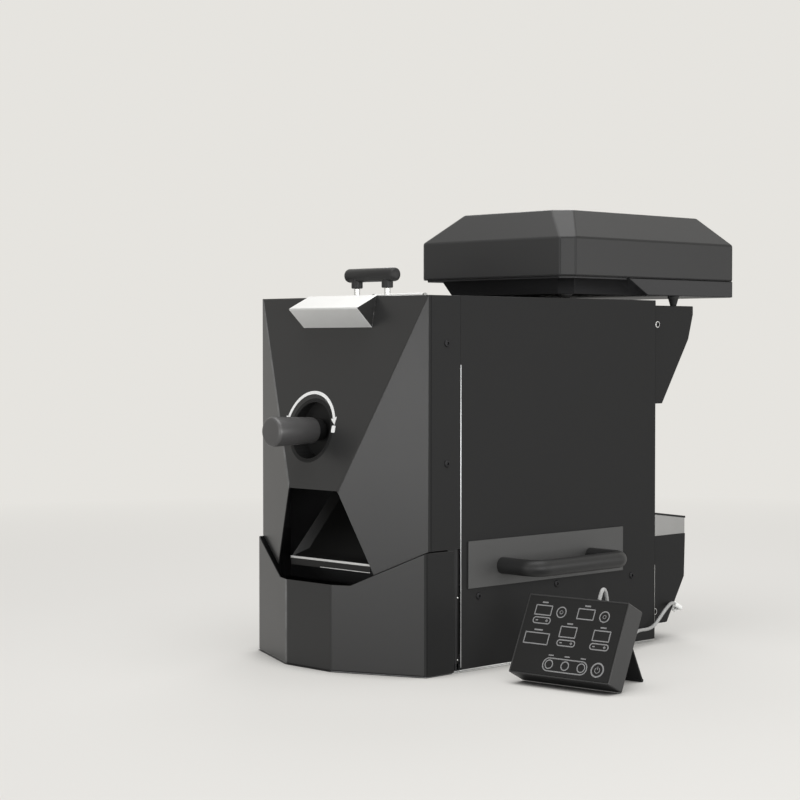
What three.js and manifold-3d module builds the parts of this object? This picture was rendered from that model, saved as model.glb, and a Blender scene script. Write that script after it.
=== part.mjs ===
// Home coffee bean roaster: a drum roaster in a faceted sheet-metal casing, with a bean hopper,
// a turning discharge handle, a pull-out bean bin, a side tray, a rear chaff collector, a cooling
// unit with a hinged lid on top and a wired control box beside it.
//
// Millimetres. X is the machine's width, seen from the front with +X to the right, -Y is the front
// and +Z is up. While it is built, the machine stands on z = 0 with x = 0 on its middle plane and
// y = 0 on the top edge of its front. The last lines move it so that the origin is the middle of
// its footprint.

import * as THREE from 'three';
import { mergeVertices } from 'three/addons/utils/BufferGeometryUtils.js';
import Module from 'manifold-3d';

const wasm = await Module();
wasm.setup();

// Sizes shared by the whole machine
const gap = 0.3; // between pieces that touch
const sheet = 1.5; // folded steel sheet
const thinSheet = 1.2; // stainless pans
const overrun = 30; // how far a cutter passes the face that it opens
const roundSides = 32;
const drumSides = 48;
const smallSides = 16;
const tubeSides = 14;
const thinTubeSides = 8;
const handleSteps = 32;
const cableSteps = 64;
const weldDistance = 1e-4;

// Casing
const bodyWidth = 300;
const halfWidth = bodyWidth / 2;
const bodyHeight = 443;
const seamY = 50; // where the front cover's side flange meets the side panel
const panelLow = 3.3;
const footHeight = 0.9;
const footRadius = 12;
const footInsetX = 40;
const frontFootY = 12;
const rearFootInset = 30;
const panFlange = 20;
const panFront = 37; // its full width ends here, behind the bean bin
const tongueForward = 10; // how far the base reaches under the bean bin
const tongueHalfWidth = 120;
const panelReturn = 12; // inward fold along the rear edge of a side panel

// Front cover
const facetDrop = 1.5; // plain band under the top edge
const waistHalfWidth = 43.5;
const waistForward = 48.4;
const coverLow = 95;
const coverLowHalfOpening = 95;
const rimGap = 2.1; // from the bean bin's rim up to the cover

// Bulkheads and shields
const frontBulkheadY = 44;
const shelfInsetX = 20;

// Drum and its drive. The casing's depth follows from the drum's length.
const drumRadius = 98;
const drumLength = 270;
const drumBelowTop = 151; // from the casing's top down to the drum's axis
const drumClearFront = 4;
const drumClearRear = 12;
const gearClear = 18; // from the rear bulkhead to the gears
const motorClear = 16; // from the motor to the rear edge of the casing
const drumFront = frontBulkheadY + drumClearFront;
const drumRear = drumFront + drumLength;
const rearBulkheadY = drumRear + drumClearRear;
const drumHeight = bodyHeight - drumBelowTop;
const drumLip = 12;
const drumHubRadius = 14;
const drumHubLength = 14;
const vaneCount = 4;
const vaneDepth = 20;
const vaneLean = 0.5; // radians
const spokeCount = 6;
const spokeWidth = 12;
const shaftRadius = 6;
const bearingRadius = 14;
const bearingLength = 8;
const gearModule = 2;
const toothDepth = 1.25; // modules below the pitch circle
const toothRise = 0.9; // modules above it
const toothRootShare = 0.33; // half a tooth's width, of the pitch
const toothTipShare = 0.13;
const gearTeeth = 48;
const pinionTeeth = 16;
const gearFace = 8;
const gearY = rearBulkheadY + gearClear;
const backlash = 0.3;
const motorRadius = 29;
const motorLength = 38;
const bodyDepth = gearY + gearFace + 2 * sheet + motorLength + motorClear;
const motorAngle = -Math.PI / 3; // of the motor's axis, seen from the front, round the drum's
const motorShaftRadius = 4;
const standoffRadius = 4;
const standoffSpread = Math.PI / 3;

// Heater and the heat shield round it and the drum
const heaterClear = 15; // between the drum and the heater's axis
const shieldDrop = 13; // of the shield's floor below the heater's axis
const shieldMargin = 24; // beside the drum
const shieldRise = 94; // of the shield's edge above the drum's axis
const heaterHeight = drumHeight - drumRadius - heaterClear;
const shieldHeight = heaterHeight - shieldDrop;
const shieldHalfWidth = drumRadius + shieldMargin;
const shieldTop = drumHeight + shieldRise;
const heaterHalfSpan = 45;
const heaterRadius = 5;
const heaterFront = 90;
const heaterTail = 12;

// Exhaust fan and rear duct
const fanTubeRadius = 45;
const fanTopClear = 3.5;
const fanHeight = bodyHeight - sheet - fanTopClear - fanTubeRadius;
const fanMotorRadius = 15;
const fanMotorLength = 24;
const fanBladeCount = 7;
const fanBladeChord = 14;
const fanBladeTwist = 0.7; // radians
const fanTipGap = 1.5;
const strutCount = 3;
const strutWidth = 5;
const ductInsetX = 4;
const ductInsetTop = 6.5;
const ductDepth = 82.5; // of each part behind the casing's rear edge, and below its top
const ductKneeDepth = 73.5;
const ductLowDepth = 18;
const ductShoulderDrop = 18;
const ductKneeDrop = 49;
const ductDrop = 134;
const ductHalfWidth = halfWidth - ductInsetX;
const ductTop = bodyHeight - ductInsetTop;
const ductShoulder = bodyHeight - ductShoulderDrop;
const ductKneeZ = bodyHeight - ductKneeDrop;
const ductLow = bodyHeight - ductDrop;
const ductRear = bodyDepth + ductDepth;
const ductKneeY = bodyDepth + ductKneeDepth;
const ductLowY = bodyDepth + ductLowDepth;

// Chaff box and basket
const chaffTop = 136;
const chaffKneeZ = 79.5;
const chaffLow = 21.5;
const chaffDepth = 68; // behind the casing's rear edge
const chaffKneeDepth = 66;
const chaffLowDepth = 30;
const chaffRear = bodyDepth + chaffDepth;
const chaffKneeY = bodyDepth + chaffKneeDepth;
const chaffLowY = bodyDepth + chaffLowDepth;
const basketTop = 167; // at the casing; the collar's top falls to the rear
const basketTopRear = 158.5;
const basketLow = 88;
const basketWall = 1;
const basketCorner = 22;
const basketClearance = 1.5;
const collarInset = 0.5;
const socketInsetX = 12;
const socketX = ductHalfWidth - socketInsetX;
const socketHeight = 45.6;
const socketRadius = 6.5;
const socketBore = 2.6;
const socketLength = 6;
const plugRadius = 4.2;
const plugLength = 14;
const plugOutletRadius = 3;
const plugOutletSetback = 5;
const plugOutletReach = 8;

// Hopper, its lid and the lid's grip
const mouthHalfWidth = 56;
const mouthFront = 9;
const mouthRear = 86;
const neckHalfWidth = 36;
const neckFront = 10;
const neckRise = 102; // of each height above the drum's axis
const spoutRise = 51;
const chargeLowRise = 57;
const chargeHighRise = 94;
const neckHeight = drumHeight + neckRise;
const spoutLow = drumHeight + spoutRise;
const chargeLow = drumHeight + chargeLowRise;
const chargeHigh = drumHeight + chargeHighRise;
const lidMargin = 5; // beside the mouth
const lidRearMargin = 6;
const lidHalfWidth = mouthHalfWidth + lidMargin;
const lidRear = mouthRear + lidRearMargin;
const lidNoseForward = 32;
const lidNoseDrop = 13.5; // from the casing's top down to the nose
const lidNoseEdge = 2;
const lidNoseTail = 37; // and down to its lowest edge
const lidNoseHeight = bodyHeight - lidNoseDrop;
const lidNoseLow = bodyHeight - lidNoseTail;
const lidKnuckleRadius = 3;
const lidPinRadius = 1.4;
const gripY = 49;
const gripRise = 27.6;
const gripHeight = bodyHeight + gripRise;
const gripRadius = 8.5;
const gripLength = 87;
const gripPostSpacing = 54;
const gripPostRadius = 7;
const gripPostDrop = 16;
const studRadius = 3.8;

// Discharge: handle, shutter, chute
const knobX = -18.6;
const knobBelowDrum = 9.4;
const knobHeight = drumHeight - knobBelowDrum;
const waistBelowDrum = 79;
const waistHeight = drumHeight - waistBelowDrum;
const recessRadius = 36;
const recessWall = 2;
const recessBack = 14;
const knobRadius = 18; // at its front end
const knobBackRadius = 15.5;
const knobLength = 65.5;
const collarRadius = 13;
const collarLength = 12.5;
const knobBackClear = 4;
const knobBevel = 3;
const knobShaftRadius = 5;
const sleeveRadius = 8;
const runningGap = 0.4;
const shutterRadius = 86;
const shutterHalfAngle = 0.63; // radians
const shutterHub = 10;
const shutterSheet = 2;
const shutterClear = 2; // to the bulkhead behind it
const portHalfWidth = 26;
const portLowDrop = 78; // of each height below the handle's axis
const portHighDrop = 42;
const chuteStartDrop = 85.5;
const portLow = knobHeight - portLowDrop;
const portHigh = knobHeight - portHighDrop;
const chuteStart = knobHeight - chuteStartDrop;
const chuteElbowY = 0;
const chuteElbowZ = 134;
const chuteLipY = 21;
const chuteLipZ = 125;
const chuteLipDrop = 9;
const chuteHalfWidth = 71;
const chuteCheek = 24;
const chuteTabDrop = 14;

// Bean bin
const binForward = 56;
const binCornerForward = 6.5;
const binCentreHalfWidth = 40.5;
const binRimHalfWidth = 63;
const binRim = 103;
const binCornerRim = 144.3;
const binBack = 40;
const binLow = 0.6;
const binPanTop = 91;
const binPanBackInset = 2;

// Side tray
const trayFrontLength = 283;
const trayFrontHeight = 56;
const trayFrontY0 = 62;
const trayFrontY1 = trayFrontY0 + trayFrontLength;
const trayFrontZ0 = 98;
const trayFrontZ1 = trayFrontZ0 + trayFrontHeight;
const trayFrontThickness = 2;
const trayLap = 2; // how far the front laps over the edge of its cut-out
const trayPanInset = 3;
const trayPanRise = 2;
const trayPanDrop = 8;
const trayPanLow = trayFrontZ0 + trayPanRise;
const trayPanTop = trayFrontZ1 - trayPanDrop;
const trayDepth = 270;
const trayCorner = 3;
const handleRadius = 10;
const handleReach = 55.7; // from the tray's front to the bar's axis
const handleLength = 161;
const handleSetback = 58; // from the front's end to the handle's end
const handleRise = 23.5;
const handleY0 = trayFrontY0 + handleSetback;
const handleY1 = handleY0 + handleLength;
const handleHeight = trayFrontZ0 + handleRise;
const handleBend = 22;

// Cooling unit
const coolerWidth = 271;
const coolerDepth = 353.5;
const coolerFront = 257;
const coolerRear = coolerFront + coolerDepth;
const coolerCorner = 14.5;
const tubLift = 7; // above the casing's top
const tubDepth = 20;
const lidLift = 2; // above the tub
const skirtDepth = 48.6;
const ridgeRise = 37.4;
const tubLow = bodyHeight + tubLift;
const tubTop = tubLow + tubDepth;
const skirtLow = tubTop + lidLift;
const skirtTop = skirtLow + skirtDepth;
const ridgeHeight = skirtTop + ridgeRise;
const ridgeInsetX = 39;
const ridgeInsetFront = 34.4;
const ridgeInsetRear = 25;
const ridgeCorner = 19.5;
const tubTopInset = 18;
const tubLowInset = 27.6;
const rearBoxTopSetback = 120; // from the front of the unit
const rearBoxLowSetback = 157;
const rearBoxTopY = coolerFront + rearBoxTopSetback;
const rearBoxLowY = coolerFront + rearBoxLowSetback;
const rearBoxTop = skirtLow - 2 * gap;
const rimInset = 4;
const screenLift = 15; // above the tub's underside
const screenHeight = tubLow + screenLift;
const screenThickness = 1.2;
const screenHoleRadius = 4;
const screenHoleSides = 6;
const screenPitch = 25;
const screenMargin = 14;
const coolerFanRadius = 60;
const coolerFanSetback = 93;
const coolerFanY = coolerFront + coolerFanSetback;
const coolerHubRadius = 21;
const coolerMotorHeight = 7;
const coolerBladeCount = 7;
const coolerBladeChord = 22;
const coolerBladeTwist = 0.3; // radians
const coolerBladeThickness = 1.5;
const coolerVentCount = 12;
const coolerVentWidth = 8;
const coolerFootRadius = 7.6;
const coolerFootTipShare = 0.5;
const frontCoolerFootX = 98;
const frontCoolerFootSetback = 39;
const frontCoolerFootY = coolerFront + frontCoolerFootSetback;
const rearCoolerFootX = 122;
const rearCoolerFootInset = 11.5; // from the rear of the duct
const rearCoolerFootY = ductRear - rearCoolerFootInset;
const lidAxisOut = 4.5; // behind the skirt
const lidAxisDrop = 2.2; // below the skirt
const barrelRadius = 3.4;
const hingePinRadius = 1.5;
const hingeInset = 60;
const hingeLength = 44;

// Control box
const controlWidth = 136;
const controlHeight = 95.3;
const controlThickness = 30.5;
const controlLean = THREE.MathUtils.degToRad(26);
const controlYaw = THREE.MathUtils.degToRad(6.4);
const controlX = 371.3; // rear lower right corner
const controlY = 79.7;
const facePanelInset = 1.6;
const facePanelThickness = 2;
const glandAcross = 51;
const glandRadius = 5;
const glandTipRadius = 3.2;
const glandLength = 4;
const standSide = 23;
const standHinge = 82; // up the back, from the lower edge
const standSheet = 2;
const standReach = 77; // of the foot, behind the lower edge
const standBarrel = 3;
const standPin = 1.5;
const standClear = 3.6; // from the back to the hinge's axis

// Inlet and circuit board
const inletX = -100;
const inletHeight = 232;
const inletWidth = 50;
const inletTall = 28;
const inletFlange = 1.8;
const inletDepth = 20;
const inletRecess = 16;
const inletWall = 3;
const inletPinRadius = 1.6;
const boardX0 = -110;
const boardX1 = 60;
const boardY0 = 110;
const boardY1 = 240;
const boardThickness = 1.6;
const boardStandoff = 8;
const boardStandoffRadius = 3;
const sinkHeight = 30;
const sinkFinCount = 6;
const sinkFin = 2;
const sinkPitch = 7;
const capRadius = 9;
const capHeight = 26;

// Control cable, from the control box's gland to the plug's side outlet. The route was chosen
// by hand along the way that such a cable takes: a short arch over the box, down to the
// surface behind it, and up again along the casing to the rear socket.
const cableDiameter = 4.4;
const cableRoute = [
  [317.3, 103.8, 96.2], [317.0, 106.2, 101.0], [316.7, 108.7, 105.2], [316.0, 112.6, 107.7],
  [315.3, 116.6, 105.4], [314.8, 119.2, 99.6], [314.3, 121.6, 91.4], [313.4, 127.4, 80.0],
  [312.4, 134.4, 67.6], [310.8, 144.0, 52.6], [308.0, 156.0, 29.0], [302.6, 166.6, 11.6],
  [293.8, 178.4, 3.6], [282.0, 190.0, 2.3], [266.0, 203.0, 2.3], [248.0, 219.0, 2.3],
  [230.0, 239.0, 2.4], [213.0, 262.0, 3.4], [197.0, 289.0, 6.6], [184.0, 316.0, 11.8],
  [173.0, 341.0, 17.4], [166.4, 357.0, 19.8], [163.0, 370.0, 20.0], [161.6, 381.0, 19.6],
  [160.8, 391.0, 20.6], [160.2, 400.0, 23.8], [159.8, 408.4, 29.6], [159.3, 417.8, 36.9],
  [158.2, 428.6, 43.8], [155.6, 439.5, 47.3], [153.0, 449.5, 45.8], [151.4, 457.8, 42.4],
  [149.4, 465.5, 39.2], [146.4, 470.3, 37.8], [142.4, 470.96, 37.53],
];

// Finishes
const finish = (color, roughness, metalness) =>
  new THREE.MeshStandardMaterial({ color, roughness, metalness });
const blackPaint = finish(0x343434, 0.55, 0.2);
const frontPaint = finish(0x434343, 0.5, 0.2);
const hoodPaint = finish(0x3c3c3c, 0.5, 0.2);
const stainless = finish(0xc9c9c9, 0.3, 1);
const bareSteel = finish(0x8a8a88, 0.45, 0.9);
const darkSteel = finish(0x2a2a2c, 0.6, 0.6);
const blackPlastic = finish(0x1c1c1c, 0.5, 0);
const gripPlastic = finish(0x2b2b2b, 0.6, 0);
const rubber = finish(0x151515, 0.9, 0);
const glossBlack = finish(0x202020, 0.2, 0);
const boardGreen = finish(0x1f5a34, 0.6, 0);
const cableGrey = finish(0xb8b8b6, 0.5, 0);

// Shape helpers

const boxOf = (x0, x1, y0, y1, z0, z1) => {
  const geometry = new THREE.BoxGeometry(x1 - x0, y1 - y0, z1 - z0);
  return geometry.translate((x0 + x1) / 2, (y0 + y1) / 2, (z0 + z1) / 2);
};

// A prism of an outline. Along 'x' the outline's points are (y, z), along 'y' they are (x, z) and
// along 'z' they are (x, y).
function prism(outline, along, from, to) {
  const shape = Array.isArray(outline)
    ? new THREE.Shape(outline.map(([a, b]) => new THREE.Vector2(a, b))) : outline;
  const settings = { depth: to - from, bevelEnabled: false, curveSegments: smallSides / 4 };
  const geometry = new THREE.ExtrudeGeometry(shape, settings);
  if (along === 'z') return geometry.translate(0, 0, from);
  if (along === 'x') {
    const toX = new THREE.Matrix4().set(0, 0, 1, 0, 1, 0, 0, 0, 0, 1, 0, 0, 0, 0, 0, 1);
    return geometry.translate(0, 0, from).applyMatrix4(toX);
  }
  return geometry.translate(0, 0, -to).rotateX(Math.PI / 2);
}

// A round bar along an axis, through the point where the two other coordinates are a and b.
function rod(along, radius, from, to, a = 0, b = 0, sides = roundSides, endRadius = radius) {
  const geometry = new THREE.CylinderGeometry(endRadius, radius, to - from, sides);
  geometry.translate(0, (from + to) / 2, 0);
  if (along === 'x') return geometry.rotateZ(-Math.PI / 2).translate(0, a, b);
  if (along === 'z') return geometry.rotateX(Math.PI / 2).translate(a, b, 0);
  return geometry.translate(a, 0, b);
}

// A body turned about the Y axis from a closed profile of (radius, y) points.
function turned(profile, sides = roundSides) {
  const points = profile.map(([radius, y]) => new THREE.Vector2(radius, y));
  return new THREE.LatheGeometry([...points, points[0]], sides);
}

// A solid skinned over rings of (x, y) points, one ring for each height. The rings run
// counter-clockwise seen from above and rise from the first to the last.
function loft(rings, heights) {
  const count = rings[0].length;
  const position = rings.flatMap((ring, level) => ring.flatMap(([x, y]) => [x, y, heights[level]]));
  const index = [];
  for (let level = 0; level + 1 < rings.length; level++) {
    for (let i = 0; i < count; i++) {
      const a = level * count + i;
      const b = level * count + (i + 1) % count;
      index.push(a, b, b + count, a, b + count, a + count);
    }
  }
  const last = (rings.length - 1) * count;
  for (let i = 1; i + 1 < count; i++) {
    index.push(0, i + 1, i);
    index.push(last, last + i, last + i + 1);
  }
  const geometry = new THREE.BufferGeometry();
  geometry.setAttribute('position', new THREE.Float32BufferAttribute(position, 3));
  return geometry.setIndex(index);
}

// The outline moved inwards by a distance, with mitred corners. It runs counter-clockwise.
function inset(outline, distance) {
  const count = outline.length;
  const normal = (from, to) => {
    const length = Math.hypot(to[0] - from[0], to[1] - from[1]);
    return [-(to[1] - from[1]) / length, (to[0] - from[0]) / length];
  };
  return outline.map((point, i) => {
    const before = normal(outline[(i + count - 1) % count], point);
    const after = normal(point, outline[(i + 1) % count]);
    const stretch = distance / (1 + before[0] * after[0] + before[1] * after[1]);
    return [point[0] + (before[0] + after[0]) * stretch, point[1] + (before[1] + after[1]) * stretch];
  });
}

const mirrorX = (half) => [...half, ...half.map(([x, y]) => [-x, y]).reverse()];

// A rectangle with cut corners, counter-clockwise.
function cutRectangle(halfWidth, y0, y1, corner) {
  const right = [
    [halfWidth - corner, y0], [halfWidth, y0 + corner], [halfWidth, y1 - corner], [halfWidth - corner, y1],
  ];
  return mirrorX(right);
}

// A rectangle with round corners, as a shape.
function roundRectangle(x0, x1, y0, y1, radius) {
  const shape = new THREE.Shape();
  shape.moveTo(x0 + radius, y0).lineTo(x1 - radius, y0);
  shape.absarc(x1 - radius, y0 + radius, radius, -Math.PI / 2, 0, false);
  shape.lineTo(x1, y1 - radius);
  shape.absarc(x1 - radius, y1 - radius, radius, 0, Math.PI / 2, false);
  shape.lineTo(x0 + radius, y1);
  shape.absarc(x0 + radius, y1 - radius, radius, Math.PI / 2, Math.PI, false);
  shape.lineTo(x0, y0 + radius);
  shape.absarc(x0 + radius, y0 + radius, radius, Math.PI, Math.PI * 1.5, false);
  return shape;
}

function solidOf(source) {
  const geometry = source.clone();
  geometry.deleteAttribute('normal');
  geometry.deleteAttribute('uv');
  const merged = mergeVertices(geometry, weldDistance);
  return new wasm.Manifold(new wasm.Mesh({
    numProp: 3,
    vertProperties: new Float32Array(merged.attributes.position.array),
    triVerts: new Uint32Array(merged.index.array),
  }));
}

function geometryOf(solid) {
  const { vertProperties, triVerts } = solid.getMesh();
  const geometry = new THREE.BufferGeometry();
  geometry.setAttribute('position', new THREE.Float32BufferAttribute(vertProperties, 3));
  geometry.setIndex([...triVerts]);
  geometry.computeVertexNormals();
  return geometry;
}

const cut = (base, ...tools) =>
  geometryOf(tools.reduce((solid, tool) => solid.subtract(solidOf(tool)), solidOf(base)));
const join = (base, ...others) =>
  geometryOf(others.reduce((solid, other) => solid.add(solidOf(other)), solidOf(base)));
const common = (base, other) => geometryOf(solidOf(base).intersect(solidOf(other)));

const machine = new THREE.Group();

function addPiece(group, name, geometry, material) {
  const mesh = new THREE.Mesh(geometry, material);
  mesh.name = name;
  group.add(mesh);
  return mesh;
}

const innerHalf = halfWidth - sheet - gap;

// Base, with a tongue under the bean bin, and its feet

const panZ0 = footHeight + gap;
const panTop = panZ0 + sheet;
const rearInner = bodyDepth - sheet - gap;
const panRear = rearInner - sheet - gap;
const basePan = () => {
  const floor = boxOf(-innerHalf, innerHalf, panFront, panRear, panZ0, panTop);
  const tongue = boxOf(-tongueHalfWidth, tongueHalfWidth, -tongueForward, panFront + sheet, panZ0, panTop);
  const right = boxOf(innerHalf - sheet, innerHalf, seamY + gap, panRear, panZ0, panZ0 + panFlange);
  const left = boxOf(-innerHalf, sheet - innerHalf, seamY + gap, panRear, panZ0, panZ0 + panFlange);
  return join(floor, tongue, right, left);
};
addPiece(machine, 'base_pan', basePan(), darkSteel);

for (const [side, x] of [['left', footInsetX - halfWidth], ['right', halfWidth - footInsetX]]) {
  for (const [end, y] of [['front', frontFootY], ['rear', bodyDepth - rearFootInset]]) {
    addPiece(machine, `foot_${end}_${side}`, rod('z', footRadius, 0, footHeight, x, y, smallSides), rubber);
  }
}

// Side panels, folded inwards along the rear edge. The right one has the side tray's cut-out.

const across = (sign, near, far) => (sign > 0 ? [near, far] : [-far, -near]);
function sidePanel(sign) {
  const [x0, x1] = across(sign, halfWidth - sheet, halfWidth);
  const [fold0, fold1] = across(sign, halfWidth - panelReturn, halfWidth);
  const panel = boxOf(x0, x1, seamY + gap, bodyDepth, panelLow, bodyHeight);
  return join(panel, boxOf(fold0, fold1, bodyDepth - sheet, bodyDepth, panelLow, bodyHeight));
}

const holeY0 = trayFrontY0 + trayLap;
const holeY1 = trayFrontY1 - trayLap;
const holeZ0 = trayFrontZ0 + sheet;
const holeZ1 = trayFrontZ1 - trayLap;
const trayHole = boxOf(halfWidth - overrun, halfWidth + overrun, holeY0, holeY1, holeZ0, holeZ1);
addPiece(machine, 'right_side_panel', cut(sidePanel(1), trayHole), blackPaint);
addPiece(machine, 'left_side_panel', sidePanel(-1), blackPaint);

// Top panel, let in between the covers, with the hopper's mouth

const foldClear = sheet + gap;
const topUnder = bodyHeight - sheet;
const topPanel = boxOf(-innerHalf, innerHalf, foldClear, rearInner, topUnder, bodyHeight);
const mouth = boxOf(
  -mouthHalfWidth, mouthHalfWidth, mouthFront, mouthRear, topUnder - sheet, bodyHeight + sheet,
);
addPiece(machine, 'top_panel', cut(topPanel, mouth), blackPaint);

// Rear panel, with the holes for the exhaust fan and the mains inlet

const rearPanel = () => {
  const plate = boxOf(-innerHalf, innerHalf, rearInner - sheet, rearInner, panTop + gap, topUnder - gap);
  const fanHole = rod('y', fanTubeRadius - sheet, rearInner - overrun, rearInner + overrun, 0, fanHeight);
  const halfHole = inletWidth / 2 - inletWall;
  const tallHole = inletTall / 2 - inletWall;
  const inletHole = boxOf(
    inletX - halfHole - gap, inletX + halfHole + gap, rearInner - overrun, rearInner + overrun,
    inletHeight - tallHole - gap, inletHeight + tallHole + gap,
  );
  return cut(plate, fanHole, inletHole);
};
addPiece(machine, 'rear_panel', rearPanel(), blackPaint);

// Front cover: one folded sheet. Its middle facet leans out from the top edge to a narrow waist,
// and two upright side facets run from there to the corners. Below the waist it is open.

const facetStartForward = waistForward * sheet / (halfWidth - waistHalfWidth);
const facetTop = bodyHeight - facetDrop;
// The middle facet's y at a height
const frontAt = (height) => {
  const downShare = Math.max(0, (facetTop - height) / (facetTop - waistHeight));
  return -facetStartForward - (waistForward - facetStartForward) * Math.min(1, downShare);
};
function coverRings(distance, reachBack) {
  const ring = (half, forward) => {
    const outline = mirrorX([[half, -forward], [halfWidth, 0], [halfWidth, seamY]]);
    const moved = inset(outline, distance);
    return moved.map(([x, y], i) => [x, outline[i][1] === seamY ? seamY + reachBack : y]);
  };
  const low = ring(waistHalfWidth, waistForward);
  const high = ring(halfWidth - sheet, facetStartForward);
  return [low, low, high, high];
}
const binRimAt = (x) =>
  binCornerRim - (halfWidth - x) * (binCornerRim - binRim) / (halfWidth - binRimHalfWidth);
const openingHalfAt = (height) =>
  waistHalfWidth
  + (coverLowHalfOpening - waistHalfWidth) * (waistHeight - height) / (waistHeight - coverLow);
const frontCover = () => {
  const outer = loft(coverRings(0, 0), [coverLow, waistHeight, facetTop, bodyHeight]);
  const innerHeights = [coverLow - overrun, waistHeight, facetTop, bodyHeight + overrun];
  const inner = loft(coverRings(sheet, overrun), innerHeights);
  const low = coverLow - overrun;
  const opening = prism([
    [openingHalfAt(low), low], [waistHalfWidth, waistHeight], [-waistHalfWidth, waistHeight],
    [-openingHalfAt(low), low],
  ], 'y', -waistForward - overrun, -gap);
  // The lower edges keep the same distance from the bean bin's rim
  const edgeAt = (x) => rimGap + binRimAt(x);
  const edgeCut = (sign) => {
    const outline = [
      [sign * binRimHalfWidth, low], [sign * binRimHalfWidth, edgeAt(binRimHalfWidth)],
      [sign * halfWidth, edgeAt(halfWidth)], [sign * (halfWidth + overrun), edgeAt(halfWidth)],
      [sign * (halfWidth + overrun), low],
    ];
    return prism(outline, 'y', -waistForward - overrun, seamY + overrun);
  };
  const knobHole = rod('y', recessRadius + gap, -waistForward - overrun, seamY, knobX, knobHeight);
  return cut(outer, inner, opening, edgeCut(1), edgeCut(-1), knobHole);
};
addPiece(machine, 'front_cover', frontCover(), frontPaint);

// Front bulkhead: closes the drum's front and carries its bearing, the charge port and the
// discharge port. The hopper's neck goes through a notch at the top.

const chargePort = boxOf(
  -neckHalfWidth + thinSheet, neckHalfWidth - thinSheet, frontBulkheadY - overrun, frontBulkheadY + overrun,
  chargeLow, chargeHigh,
);
const frontBulkhead = () => {
  const plate = boxOf(
    -innerHalf, innerHalf, frontBulkheadY, frontBulkheadY + sheet, panTop + gap, topUnder - gap,
  );
  const y0 = frontBulkheadY - overrun;
  const y1 = frontBulkheadY + overrun;
  const notchHalf = mouthHalfWidth + foldClear + sheet;
  const notch = boxOf(-notchHalf, notchHalf, y0, y1, chargeHigh + 2 * sheet, bodyHeight);
  const discharge = boxOf(knobX - portHalfWidth, knobX + portHalfWidth, y0, y1, portLow, portHigh);
  const shaftHole = rod('y', shaftRadius + runningGap, y0, y1, 0, drumHeight, smallSides);
  return cut(plate, notch, chargePort, discharge, shaftHole);
};
addPiece(machine, 'front_bulkhead', frontBulkhead(), darkSteel);

// Rear bulkhead

const rearBulkhead = () => {
  const y0 = rearBulkheadY - overrun;
  const y1 = rearBulkheadY + overrun;
  const plate = boxOf(
    -innerHalf, innerHalf, rearBulkheadY, rearBulkheadY + sheet, shieldHeight, topUnder - gap,
  );
  const fanHole = rod('y', fanTubeRadius - sheet, y0, y1, 0, fanHeight);
  const shaftHole = rod('y', shaftRadius + runningGap, y0, y1, 0, drumHeight, smallSides);
  const heaterHoles = [-heaterHalfSpan, heaterHalfSpan].map((x) =>
    rod('y', heaterRadius + gap, y0, y1, x, heaterHeight, smallSides));
  return cut(plate, fanHole, shaftHole, ...heaterHoles);
};
addPiece(machine, 'rear_bulkhead', rearBulkhead(), darkSteel);

// Heat shield: a trough under and beside the drum

const shieldFront = frontBulkheadY + foldClear;
const shieldRear = rearBulkheadY - gap;
const heatShield = () => {
  const outer = boxOf(-shieldHalfWidth, shieldHalfWidth, shieldFront, shieldRear, shieldHeight, shieldTop);
  const inner = boxOf(
    sheet - shieldHalfWidth, shieldHalfWidth - sheet, shieldFront - overrun, shieldRear + overrun,
    shieldHeight + sheet, shieldTop + overrun,
  );
  return cut(outer, inner);
};
addPiece(machine, 'heat_shield', heatShield(), stainless);

// Tray shelf: an upturned channel that carries the side tray

const shelfY0 = trayFrontY0;
const shelfY1 = trayFrontY1;
const shelfTop = trayPanLow - gap;
const trayShelf = () => {
  const outer = boxOf(shelfInsetX - halfWidth, innerHalf, shelfY0, shelfY1, panTop + gap, shelfTop);
  const inner = boxOf(
    shelfInsetX - halfWidth - overrun, halfWidth + overrun, shelfY0 + sheet, shelfY1 - sheet,
    panTop - overrun, shelfTop - sheet,
  );
  const beside = boxOf(
    innerHalf - foldClear, halfWidth, shelfY0 - sheet, shelfY1 + sheet, 0, panZ0 + panFlange + gap,
  );
  return cut(outer, inner, beside);
};
addPiece(machine, 'tray_shelf', trayShelf(), darkSteel);

// Hopper funnel: a wide mouth under the top panel, a neck in front of the bulkhead and a spout
// with an open back at the charge port

const hopperFunnel = () => {
  const rings = (grow) => {
    const neckRear = frontBulkheadY - gap;
    const wide = cutRectangle(mouthHalfWidth + foldClear - grow, mouthFront - foldClear + grow,
      mouthRear + foldClear - grow, sheet);
    const neck = cutRectangle(neckHalfWidth - grow, neckFront + grow, neckRear - grow, sheet);
    return [neck, neck, wide];
  };
  const outer = loft(rings(0), [spoutLow, neckHeight, topUnder - gap]);
  const inner = loft(rings(thinSheet), [spoutLow + thinSheet, neckHeight, topUnder - gap + sheet]);
  return cut(outer, inner, chargePort);
};
addPiece(machine, 'hopper_funnel', hopperFunnel(), stainless);

// Drum: an open-fronted cylinder with a lip, lifting vanes, a spoked rear end and a hub

const drumAssembly = new THREE.Group();
drumAssembly.position.z = drumHeight;
machine.add(drumAssembly);

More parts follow.
